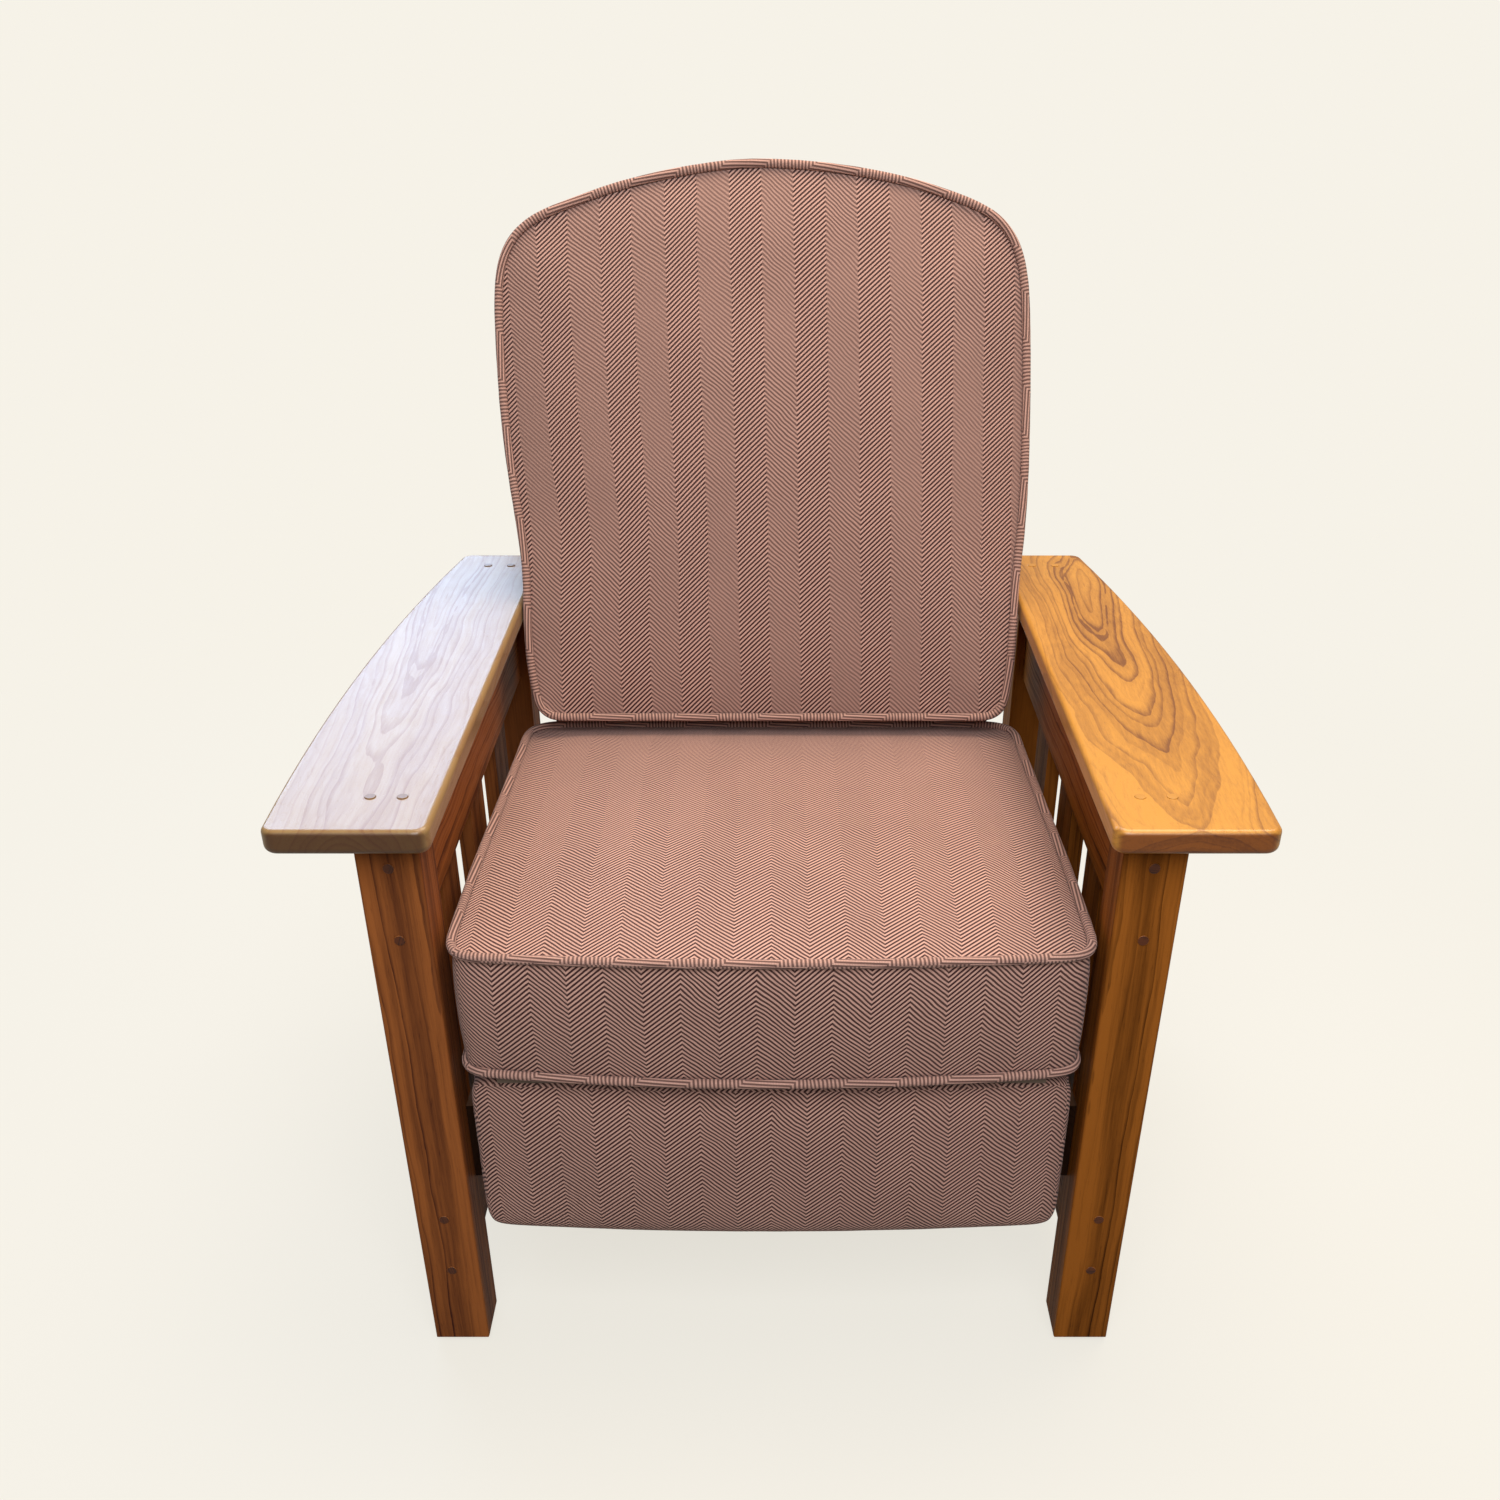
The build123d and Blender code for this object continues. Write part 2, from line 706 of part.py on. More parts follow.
def make_back_frame():
    """The ladder back behind the cushion: stiles, crest, bottom rail, slats and hinge brackets."""
    stile_inner_x = stile_outer_x - stile_width
    stile_rear = stile_front + stile_thickness
    stile = block(-stile_outer_x, -stile_inner_x, -hinge_drop, stile_top, stile_front, stile_rear)
    end = extrude(
        Plane.YZ * Pos(-hinge_drop, stile_middle) * Circle(stile_thickness / 2), stile_width
    )
    stile += Pos(-stile_outer_x, 0, 0) * end
    stile = back_plane * stile
    pin_end = stile_outer_x - hinge_pin_depth
    stile -= rod_x(hinge_pivot, pin_radius, pin_end, post_outer_x)
    add_pair("back_stile", stile)
    half = stile_outer_x
    crest = outline(
        (-stile_inner_x, crest_bottom),
        (stile_inner_x, crest_bottom),
        (stile_inner_x, stile_top),
        (half, stile_top),
        ((0, crest_top), (-half, stile_top)),
        (-stile_inner_x, stile_top),
    )
    add("back_crest", back_plane * (Pos(0, 0, stile_front) * extrude(crest, stile_thickness)))
    rail_top = back_rail_bottom + back_rail_height
    rail = block(-stile_inner_x, stile_inner_x, back_rail_bottom, rail_top, stile_front, stile_rear)
    add("back_bottom_rail", back_plane * rail)
    pitch = (crest_bottom - rail_top) / (back_slat_count + 1)
    slats = []
    for n in range(back_slat_count):
        middle = rail_top + pitch * (n + 1)
        slat = block(
            -stile_inner_x, stile_inner_x, middle - back_slat_width / 2, middle + back_slat_width / 2,
            stile_front, stile_front + back_slat_thickness,
        )
        slats.append(back_plane * slat)
    add("back_slats", Compound(slats))
    top_point = back_plane.from_local_coords(Vector(0, hinge_bracket_top, stile_middle))
    bracket = bar_plate(hinge_pivot, (top_point.Y, top_point.Z), hinge_bracket_width, 1)
    add_pair("hinge_bracket", bored(bracket, (hinge_pivot,), pin_radius))
    pin = rod_x(hinge_pivot, pin_radius - pin_gap, pin_end, carriage_outer_x)
    pin += rod_x(hinge_pivot, pin_head_radius, carriage_outer_x, carriage_outer_x + pin_head_height)
    add("hinge_pins", both_sides(pin))


make_sides()
make_arm()
make_fasteners()
make_ties()
make_slides()
make_carriage()
make_links()
make_footrest()
make_seat_frame()
make_seat_cushion()
make_back_cushion()
make_back_frame()

# The origin goes to the middle of the chair's footprint box
lowest_y = min(shape.bounding_box().min.Y for shape in nodes.values())
highest_y = max(shape.bounding_box().max.Y for shape in nodes.values())
centre_shift = -(lowest_y + highest_y) / 2

for name, shape in nodes.items():
    export_step(Pos(0, centre_shift, 0) * shape, "parts/" + name + ".step")

print("nodes", len(nodes), "shift", round(centre_shift, 3))
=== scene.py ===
import math
from collections import namedtuple

import bpy
from bpy.props import FloatProperty, FloatVectorProperty, IntProperty, PointerProperty
from mathutils import Matrix, Vector, noise
from mathutils.kdtree import KDTree


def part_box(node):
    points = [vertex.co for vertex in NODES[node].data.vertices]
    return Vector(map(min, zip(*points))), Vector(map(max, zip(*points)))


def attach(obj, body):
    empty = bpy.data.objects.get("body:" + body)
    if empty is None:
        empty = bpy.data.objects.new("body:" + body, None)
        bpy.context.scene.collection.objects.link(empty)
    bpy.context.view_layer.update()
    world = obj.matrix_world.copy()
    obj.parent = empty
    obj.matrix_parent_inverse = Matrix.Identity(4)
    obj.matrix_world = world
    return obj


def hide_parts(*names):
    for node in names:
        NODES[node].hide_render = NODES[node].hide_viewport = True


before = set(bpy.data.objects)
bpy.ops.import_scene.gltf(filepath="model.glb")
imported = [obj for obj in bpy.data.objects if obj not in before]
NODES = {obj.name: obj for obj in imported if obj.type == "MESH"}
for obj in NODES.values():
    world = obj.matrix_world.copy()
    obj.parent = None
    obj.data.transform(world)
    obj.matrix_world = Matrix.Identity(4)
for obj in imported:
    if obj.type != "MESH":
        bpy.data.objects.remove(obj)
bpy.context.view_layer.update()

bl_info = {
    "name": "Mission Reclining Armchair",
    "version": (1, 0, 0),
    "blender": (4, 5, 0),
    "location": "View3D > Sidebar > Armchair",
    "description": "Finishes the wood, steel, cushions and welts of a mission style reclining armchair",
    "category": "Object",
}

# Boxes read from the frame, each its low and high corner
POST_LOW, POST_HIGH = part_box("front_post_right")
ARM_LOW, ARM_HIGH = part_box("arm_right")
SEAT_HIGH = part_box("seat_cushion")[1]
FOOTREST_LOW, FOOTREST_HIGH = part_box("footrest_pad")
FRONT_Y = POST_LOW.y
DECK_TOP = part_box("seat_deck")[1].z
BOARD_FRONT_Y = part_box("footrest_board")[0].y

# The back cushion's seam plane: its lean, foot, upward and outward directions, and the cushion's depth
BACK_LEAN = math.radians(20)
BACK_FOOT = Vector((0, FRONT_Y + 0.488, 0.515))
BACK_UP = Vector((0, math.sin(BACK_LEAN), math.cos(BACK_LEAN)))
BACK_OUT = Vector((0, -math.cos(BACK_LEAN), math.sin(BACK_LEAN)))
BACK_DEPTH = 0.106

# Half of the back cushion's seam: distance from the middle and height up the leaning seam plane
BACK_SEAM = (
    (0.2690, 0.020), (0.2750, 0.060), (0.2780, 0.110), (0.2800, 0.160), (0.2850, 0.210),
    (0.2880, 0.280), (0.2880, 0.380), (0.2850, 0.460), (0.2780, 0.500), (0.2620, 0.528),
    (0.2300, 0.548), (0.1600, 0.569), (0.0800, 0.581), (0.0, 0.585),
)
SHOULDER_HEIGHT = 0.522

# How each side's arm board lies in its log, and how its colours differ between the sides. The heart lies at
# share of the board's length, moved out and up from the board's middle, and the log leans by lean degrees. The
# early wood is multiplied by shade, and the shifts are added to early and late wood of the arm and of the other
# pieces.
# On the left this is painted light: the arm's duller, cooler wood with weaker late wood stands in for the cool
# window lamp's reflection on it, and the posts' added blue stands in for the window's blue light on that side.
Side = namedtuple("Side", "name sign lean share out rise shade arm_light arm_dark post_light post_dark")
SIDES = (
    Side("right", 1, 7.2, 0.84, 0.012, 0.0, 1.0, (0, 0, 0), (0, 0, 0), (0, 0, 0), (0, 0, 0)),
    # Left: painted cool window light and reflection, in the arm's lower early wood and the bluer shifts
    Side("left", -1, 4.2, 0.92, 0.016, 0.004, 0.53, (-0.027, 0.0288, 0.039), (0.024, 0.036, 0.024),
         (0, 0, 0.012), (0, 0, 0.006)),
)

# Lamps: the stage setting with the power, the place, the point it faces, its size and its colour
LAMPS = (
    ("window", (-1.42, 2.3, 1.92), (-0.3, 0, 0.6), 1.7, (0.53, 0.72, 1.0)),
    ("room", (0.5, 0.6, 3.0), (0, 0, 0.5), 2.2, (1.0, 0.87, 0.71)),
    ("front", (0.1, -2.0, 2.3), (0, 0, 0.4), 1.6, (0.91, 0.95, 1.0)),
)
LENS, SENSOR_WIDTH = 36.05, 36
SHIFT_X, SHIFT_Y = -0.0143, 0.1667
SKY_COLOR = (0.97, 0.98, 1.0, 1.0)
FLOOR_HALF = 9.0

# The cover's cloth while it fills out: a stiff sheet that only air pressure moves
CLOTH = {
    "quality": 6, "mass": 0.25, "tension_stiffness": 25.0, "compression_stiffness": 25.0,
    "shear_stiffness": 12.0, "bending_stiffness": 2.5, "use_pressure": True,
    "vertex_group_mass": "seams", "pin_stiffness": 1.0,
}

# A welt's cord: how far it stands off its seam outwards and upwards, as shares of its radius, and its mesh
WELT_OUT, WELT_UP = 0.45, 0.40
WELT_SIDES = 12
WELT_FINE = 3

STAPLE_CROWN = 0.010
STAPLE_WIRE = 0.0005
STAPLE_SEED = 11


def length_setting(name, description, default):
    return FloatProperty(name=name, description=description, default=default, unit="LENGTH")


def color_setting(name, description, default):
    return FloatVectorProperty(
        name=name, description=description, subtype="COLOR", size=3, min=0, max=1, default=default
    )


def power_setting(name, description, default):
    return FloatProperty(name=name, description=description, default=default, unit="POWER")


class UpholsterySettings(bpy.types.PropertyGroup):
    """Sizes and colours of the cushions and their herringbone cover."""

    seat_crown: length_setting("Seat crown", "Rise of the seat cushion above its top seam", 0.012)
    back_crown: length_setting("Back crown", "Rise of the back cushion's face above its seam", 0.022)
    back_slant: FloatProperty(
        name="Back slant", description="Sideways lean of the loose back cushion per unit of its height",
        default=0.020,
    )
    left_slump: length_setting("Left slump", "How far the back cushion's left shoulder hangs down", 0.0125)
    arm_tuck: length_setting(
        "Arm tuck", "How far the back cushion's left side draws in where it passes the arm", 0.0075
    )
    seam_pull: length_setting("Seam pull", "How far the cover puckers along its seams", 0.0008)
    welt_radius: length_setting("Welt radius", "Radius of the covered cord in the seams", 0.0046)
    column_width: length_setting("Column width", "Width of one herringbone column", 0.0345)
    line_pitch: length_setting("Line pitch", "Distance between twill lines along a column", 0.0050)
    light_thread: color_setting("Light thread", "Colour of the light threads", (0.71, 0.40, 0.31))
    dark_thread: color_setting("Dark thread", "Colour of the dark threads", (0.052, 0.019, 0.016))
    hem_width: length_setting(
        "Hem width", "Width of the cover's edge stapled behind the footrest board", 0.020
    )
    staple_spacing: length_setting("Staple spacing", "Distance between the staples in the hem", 0.024)
    cloth_frames: IntProperty(
        name="Cloth frames", description="Frames for which a cushion fills out", default=16, min=2, max=40,
    )


class WoodSettings(bpy.types.PropertyGroup):
    """Colours of the satin lacquered walnut."""

    arm_light: color_setting("Arm light", "Early wood of the arm boards", (0.58, 0.255, 0.036))
    arm_dark: color_setting("Arm dark", "Late wood of the arm boards", (0.19, 0.062, 0.009))
    post_light: color_setting("Post light", "Early wood of posts, rails and slats", (0.330, 0.102, 0.014))
    post_dark: color_setting("Post dark", "Late wood of posts, rails and slats", (0.050, 0.013, 0.002))
    ring_spacing: length_setting("Ring spacing", "Distance between growth rings", 0.0065)


class StageSettings(bpy.types.PropertyGroup):
    """Backdrop, lamps and camera."""

    backdrop: color_setting("Backdrop", "Colour of floor and background", (0.923, 0.888, 0.805))
    window_power: power_setting("Window power", "Power of the cool window lamp", 54.0)
    room_power: power_setting("Room power", "Power of the warm lamp overhead", 92.0)
    front_power: power_setting("Front power", "Power of the lamp in front", 60.0)
    sky_strength: FloatProperty(
        name="Sky strength", description="Strength of the even light from all sides", default=0.26,
    )
    floor_bounce: FloatProperty(
        name="Floor bounce", description="Share of its own brightness that the floor throws back",
        default=0.18, min=0, max=1,
    )
    floor_shade: FloatProperty(
        name="Floor shade", description="Share of the backdrop colour that the lit floor has",
        default=0.76, min=0, max=1,
    )
    camera_height: length_setting("Camera height", "Height of the camera above the floor", 1.20421)
    camera_distance: length_setting(
        "Camera distance", "Distance of the camera in front of the posts", 1.15443
    )
    camera_pitch: FloatProperty(
        name="Camera pitch", description="How far the camera looks down", subtype="ANGLE",
        default=math.radians(33.4),
    )


class NodeBuilder:
    """Adds nodes to a tree and links them in one call each."""

    def __init__(self, tree):
        self.tree = tree

    def add(self, kind, inputs=(), **options):
        node = self.tree.nodes.new(kind)
        for key, value in options.items():
            setattr(node, key, value)
        for key, value in dict(inputs).items():
            self.feed(node.inputs[key], value)
        return node

    def feed(self, socket, value):
        if isinstance(value, bpy.types.NodeSocket):
            self.tree.links.new(value, socket)
        else:
            socket.default_value = value

    def math(self, operation, a, b=0.0, c=0.0):
        return self.add("ShaderNodeMath", {0: a, 1: b, 2: c}, operation=operation).outputs[0]

    def times(self, a, b):
        return self.math("MULTIPLY", a, b)

    def plus(self, a, b):
        return self.math("ADD", a, b)

    def scaled(self, value, factor, offset):
        return self.math("MULTIPLY_ADD", value, factor, offset)

    def clamped(self, value):
        return self.math("MINIMUM", self.math("MAXIMUM", value, 0.0), 1.0)

    def vector(self, operation, a, b=(0, 0, 0)):
        return self.add("ShaderNodeVectorMath", {0: a, 1: b}, operation=operation).outputs[0]

    def point(self, x=0.0, y=0.0, z=0.0):
        return self.add("ShaderNodeCombineXYZ", {0: x, 1: y, 2: z}).outputs[0]

    def parts(self, vector):
        return self.add("ShaderNodeSeparateXYZ", {0: vector}).outputs

    def grey(self, value):
        return self.add("ShaderNodeCombineColor", {0: value, 1: value, 2: value}).outputs[0]

    def place(self):
        return self.add("ShaderNodeTexCoord").outputs["Object"]

    def mix(self, share, a, b, blend="MIX"):
        node = self.add("ShaderNodeMix", data_type="RGBA", blend_type=blend)
        self.feed(node.inputs[0], share)
        self.feed(node.inputs[6], a)
        self.feed(node.inputs[7], b)
        return node.outputs[2]

    def noise(self, vector, scale, detail=3.0, rough=0.5, output="Fac"):
        node = self.add(
            "ShaderNodeTexNoise",
            {"Vector": vector, "Scale": scale, "Detail": detail, "Roughness": rough},
        )
        return node.outputs[output]

    def stretched(self, vector, scales, detail, rough=0.5, output="Fac"):
        """Noise with its own scale along each axis."""
        return self.noise(self.vector("MULTIPLY", vector, scales), 1.0, detail, rough, output)

    def remap(self, value, low, high, to_low=0.0, to_high=1.0):
        node = self.add(
            "ShaderNodeMapRange",
            {"Value": value, "From Min": low, "From Max": high, "To Min": to_low, "To Max": to_high},
        )
        node.interpolation_type = "SMOOTHSTEP"
        return node.outputs["Result"]

    def turned(self, vector, angles, kind="POINT"):
        """A vector turned by angles in degrees."""
        node = self.add("ShaderNodeMapping", {"Vector": vector}, vector_type=kind)
        node.inputs["Rotation"].default_value = [math.radians(angle) for angle in angles]
        return node.outputs[0]

    def relief(self, shader, height, strength, distance):
        bump = self.add("ShaderNodeBump", {"Height": height, "Strength": strength, "Distance": distance})
        self.feed(shader.inputs["Normal"], bump.outputs[0])


def new_group(name, inputs, outputs, kind="ShaderNodeTree"):
    """A node group with its named sockets, its builder, and what it is given and gives back."""
    group = bpy.data.node_groups.new(name, kind)
    for socket, value, default in inputs:
        made = group.interface.new_socket(socket, in_out="INPUT", socket_type="NodeSocket" + value)
        if default is not None:
            made.default_value = default
    for socket, value in outputs:
        group.interface.new_socket(socket, in_out="OUTPUT", socket_type="NodeSocket" + value)
    build = NodeBuilder(group)
    start = group.nodes.new("NodeGroupInput")
    end = group.nodes.new("NodeGroupOutput")
    return group, build, start.outputs, end.inputs


def herringbone_group():
    """Twill lines that turn at every column, broken up into threads."""
    name = "Herringbone weave"
    if name in bpy.data.node_groups:
        return bpy.data.node_groups[name]
    group, build, given, result = new_group(
        name,
        (
            ("Vector", "Vector", None),
            ("Column", "Float", 0.0345),
            ("Pitch", "Float", 0.0050),
            ("Soften", "Float", 0.1),
            ("Light", "Color", (0.5, 0.3, 0.2, 1)),
            ("Dark", "Color", (0.1, 0.05, 0.04, 1)),
        ),
        (("Color", "Color"), ("Height", "Float")),
    )
    slope = 0.90
    line_edge = 0.45
    bead_length = 0.0019
    mean_tone = 0.45
    place = given["Vector"]
    wander = build.scaled(build.noise(place, 26.0, 2.0), 0.004, -0.002)
    parts = build.parts(place)
    across = build.plus(parts[0], wander)
    along = build.plus(parts[1], wander)
    fold = build.math("PINGPONG", across, given["Column"])
    turns = build.math("DIVIDE", build.plus(along, build.times(fold, slope)), given["Pitch"])
    lines = build.remap(build.math("SINE", build.times(turns, math.tau)), -line_edge, line_edge)
    step = build.math("SUBTRACT", fold, along)
    beads = build.math("SINE", build.times(step, math.tau / bead_length))
    beads = build.scaled(build.remap(beads, -1.0, 0.6), 0.35, 0.65)
    fuzz = build.scaled(build.noise(place, 900.0, 2.0, 0.6), 0.36, -0.18)
    thread = build.clamped(build.plus(build.times(lines, beads), fuzz))
    # Every other column is softer, more so in some places than in others: painted sheen, for light that
    # catches the twill of one direction less than the other
    parity = build.math("FLOOR", build.math("DIVIDE", across, given["Column"]))
    parity = build.math("MODULO", build.math("ABSOLUTE", parity), 2.0)
    soften = build.remap(build.noise(place, 5.0, 1.0), 0.35, 0.65, 1.0, 0.55)
    soften = build.times(build.math("SUBTRACT", 1.0, parity), build.times(soften, given["Soften"]))
    shown = build.plus(thread, build.times(soften, build.math("SUBTRACT", mean_tone, thread)))
    patch = build.scaled(build.noise(place, 9.0, 3.0), 0.24, 0.88)
    # Every other column is also a little darker, painted sheen as well; patch varies the tone at random
    tone = build.times(build.scaled(parity, 0.03, 0.97), patch)
    color = build.mix(shown, given["Dark"], given["Light"])
    build.feed(result["Color"], build.mix(1.0, color, build.grey(tone), "MULTIPLY"))
    build.feed(result["Height"], thread)
    return group


def grain_group():
    """Growth rings round a log's heart, with bands, fibres, pores and dark end grain, for logs along Y."""
    name = "Board grain"
    if name in bpy.data.node_groups:
        return bpy.data.node_groups[name]
    group, build, given, result = new_group(
        name,
        (
            ("Vector", "Vector", None),
            ("Facing", "Vector", None),
            ("Spacing", "Float", 0.0065),
            ("Wander", "Float", 0.014),
            ("Bands", "Float", 0.34),
            ("Light", "Color", (0.5, 0.3, 0.1, 1)),
            ("Dark", "Color", (0.2, 0.1, 0.03, 1)),
        ),
        (("Color", "Color"), ("Height", "Float"), ("Polish", "Float")),
    )
    # The log's bends, and from them the distance from its heart in rings, unevenly spaced
    place = given["Vector"]
    bend = build.stretched(place, (11.0, 3.4, 11.0), 2.0, 0.5, "Color")
    bend = build.vector("SUBTRACT", bend, (0.5, 0.5, 0.5))
    bend = build.add("ShaderNodeVectorMath", {0: bend, "Scale": given["Wander"]}, operation="SCALE")
    bent = build.vector("ADD", place, build.vector("MULTIPLY", bend.outputs[0], (3.0, 0, 3.0)))
    parts = build.parts(bent)
    reach = build.plus(build.math("POWER", parts[0], 2.0), build.math("POWER", parts[2], 2.0))
    rings = build.math("DIVIDE", build.math("SQRT", reach), given["Spacing"])
    uneven = build.noise(build.point(build.times(rings, 0.42), 0.7), 1.0, 1.0)
    rings = build.plus(rings, build.times(uneven, 3.2))
    wobble = build.stretched(place, (85.0, 22.0, 85.0), 2.0)
    rings = build.plus(rings, build.times(wobble, 0.55))
    # Late wood darkens towards each ring's edge, every ring with its own strength
    ring = build.math("FRACT", rings)
    index = build.point(build.math("FLOOR", rings), 3.3)
    strength = build.remap(build.noise(index, 3.7, 0.0), 0.30, 0.68, 0.10, 1.0)
    late = build.times(build.remap(ring, 0.45, 0.95), build.remap(ring, 1.0, 0.95))
    late = build.times(late, strength)
    bands = build.noise(build.point(build.times(rings, 0.30), parts[1]), 1.0, 2.0)
    bands = build.remap(bands, 0.36, 0.68)
    fibres = build.stretched(place, (700.0, 11.0, 700.0), 4.0, 0.62)
    streaks = build.stretched(bent, (210.0, 3.6, 210.0), 3.0, 0.62)
    pores = build.remap(build.stretched(place, (1300.0, 60.0, 1300.0), 2.0), 0.60, 0.74)
    broad = build.stretched(place, (9.0, 2.4, 9.0), 2.0)
    # Each pattern's weight in the wood's tone, and what is taken off to keep the mean
    share = build.plus(build.times(late, 0.62), build.times(bands, given["Bands"]))
    for pattern, weight, offset in (
        (fibres, 0.50, -0.26), (streaks, 0.85, -0.42), (broad, 0.55, -0.26), (pores, 0.22, 0.0),
    ):
        share = build.plus(share, build.scaled(pattern, weight, offset))
    color = build.mix(build.clamped(share), given["Light"], given["Dark"])
    end = build.math("ABSOLUTE", build.parts(given["Facing"])[1])
    end = build.remap(end, 0.55, 0.95, 0.0, 0.85)
    end_tone = build.mix(0.24, given["Dark"], given["Light"])
    build.feed(result["Color"], build.mix(end, color, end_tone, "MULTIPLY"))
    build.feed(result["Height"], build.times(pores, -1.0))
    polish = build.plus(build.times(fibres, 0.5), build.times(late, 0.6))
    build.feed(result["Polish"], build.plus(polish, build.scaled(streaks, 2.0, -0.9)))
    return group


def speckle_group():
    """Fine and cloudy unevenness of a painted, plated or moulded surface."""
    name = "Fine speckle"
    if name in bpy.data.node_groups:
        return bpy.data.node_groups[name]
    group, build, given, result = new_group(
        name,
        (
            ("Vector", "Vector", None),
            ("Scale", "Float", 220.0),
            ("Amount", "Float", 0.15),
            ("Color", "Color", (0.1, 0.1, 0.1, 1)),
            ("Shade", "Color", (0.05, 0.05, 0.05, 1)),
        ),
        (("Color", "Color"), ("Height", "Float"), ("Cloud", "Float")),
    )
    grain = build.noise(given["Vector"], given["Scale"], 4.0, 0.6)
    cloud = build.noise(given["Vector"], 12.0, 2.0)
    share = build.times(build.plus(grain, cloud), given["Amount"])
    build.feed(result["Color"], build.mix(share, given["Color"], given["Shade"]))
    build.feed(result["Height"], grain)
    build.feed(result["Cloud"], cloud)
    return group


def use_group(build, group, **inputs):
    """The outputs of a group placed in a material with its own values."""
    node = build.add("ShaderNodeGroup", node_tree=group)
    for key, value in inputs.items():
        build.feed(node.inputs[key], value)
    return node.outputs


def new_material(name):
    """An empty material, its builder and its surface shader."""
    material = bpy.data.materials.new(name)
    material.use_nodes = True
    material.node_tree.nodes.clear()
    build = NodeBuilder(material.node_tree)
    shader = build.add("ShaderNodeBsdfPrincipled")
    build.add("ShaderNodeOutputMaterial", {"Surface": shader.outputs[0]})
    return material, build, shader


def rgba(color, factor=1.0):
    return (*(channel * factor for channel in color), 1.0)


def shifted(color, shift):
    return [channel + extra for channel, extra in zip(color, shift)]


def wood_material(name, heart, turn, light, dark, spacing, wander=0.014, rough=0.42, bands=0.5, coat=0.0):
    """Lacquered wood whose log runs through heart, its length turned from local Y by turn in degrees."""
    if name in bpy.data.materials:
        return bpy.data.materials[name]
    material, build, shader = new_material(name)
    place = build.place()
    normal = build.add("ShaderNodeTexCoord").outputs["Normal"]
    grain = use_group(
        build, grain_group(), Vector=build.turned(build.vector("SUBTRACT", place, heart), turn),
        Facing=build.turned(normal, turn, "NORMAL"), Spacing=spacing, Wander=wander, Bands=bands,
        Light=rgba(light), Dark=rgba(dark),
    )
    build.feed(shader.inputs["Base Color"], grain["Color"])
    polish = build.scaled(grain["Polish"], 0.10, rough - 0.06)
    haze = build.times(build.noise(place, 35.0, 3.0), 0.10)
    build.feed(shader.inputs["Roughness"], build.plus(polish, haze))
    build.relief(shader, grain["Height"], 0.35, 0.0004)
    shader.inputs["Coat Weight"].default_value = coat
    shader.inputs["Coat Roughness"].default_value = 0.2
    shader.inputs["Specular IOR Level"].default_value = 0.03 + coat
    return material


def fabric_material(name, bias=0.0, shade=1.0, soften=0.1, fade=0.0, sheen=0.12):
    """The herringbone cover on a piece's own map in metres, turned by bias in degrees.

    fade draws the dark threads towards the light ones. shade darkens both thread colours, which on the back
    cushion is painted shade; soften dulls every other column's twill, a painted sheen.
    """
    if name in bpy.data.materials:
        return bpy.data.materials[name]
    cover = bpy.context.scene.armchair_upholstery
    dark = [d + (c - d) * fade for c, d in zip(cover.light_thread, cover.dark_thread)]
    material, build, shader = new_material(name)
    place = build.add("ShaderNodeUVMap", uv_map="cover").outputs[0]
    weave = use_group(
        build, herringbone_group(), Vector=build.turned(place, (0, 0, bias)), Column=cover.column_width,
        Pitch=cover.line_pitch, Soften=soften, Light=rgba(cover.light_thread, shade), Dark=rgba(dark, shade),
    )
    build.feed(shader.inputs["Base Color"], weave["Color"])
    build.feed(shader.inputs["Roughness"], build.scaled(weave["Height"], -0.10, 0.90))
    build.relief(shader, weave["Height"], 0.75, 0.0007)
    shader.inputs["Sheen Weight"].default_value = sheen
    shader.inputs["Sheen Roughness"].default_value = 0.45
    shader.inputs["Sheen Tint"].default_value = (0.95, 0.88, 0.86, 1.0)
    shader.inputs["Specular IOR Level"].default_value = 0.25
    return material


def welt_material():
    """The cover cut on the bias round a cord."""
    return fabric_material("herringbone_welt", bias=45.0, shade=0.88, fade=0.16)


def plain_material(name, color, rough, metal=0.0, speckle=0.15, scale=220.0, bump_depth=0.0001):
    """A painted, plated or moulded surface with fine uneven colour, gloss and relief."""
    if name in bpy.data.materials:
        return bpy.data.materials[name]
    material, build, shader = new_material(name)
    fleck = use_group(
        build, speckle_group(), Vector=build.place(), Scale=scale, Amount=speckle,
        Color=rgba(color), Shade=rgba(color, 0.6),
    )
    build.feed(shader.inputs["Base Color"], fleck["Color"])
    build.feed(shader.inputs["Roughness"], build.scaled(fleck["Cloud"], 0.2, rough - 0.1))
    build.relief(shader, fleck["Height"], 0.3, bump_depth)
    shader.inputs["Metallic"].default_value = metal
    return material


def zinc_material():
    return plain_material("zinc_steel", (0.62, 0.62, 0.60), 0.34, metal=1.0, speckle=0.2, scale=900.0)


def dress(material, *nodes):
    """Gives CAD nodes' objects one material."""
    for node in nodes:
        slots = NODES[node].data.materials
        slots.clear()
        slots.append(material)


def both(*names):
    """The left and right nodes of names."""
    return [name + side for name in names for side in ("_right", "_left")]


def resample(points, count):
    """Points evenly spaced along an open line, count spans."""
    lengths = [0.0]
    for a, b in zip(points, points[1:]):
        lengths.append(lengths[-1] + (b - a).length)
    found = []
    span = 0
    for n in range(count + 1):
        goal = lengths[-1] * n / count
        while span < len(points) - 2 and lengths[span + 1] < goal:
            span += 1
        step = lengths[span + 1] - lengths[span]
        share = (goal - lengths[span]) / step if step else 0.0
        found.append(points[span].lerp(points[span + 1], min(max(share, 0.0), 1.0)))
    return found


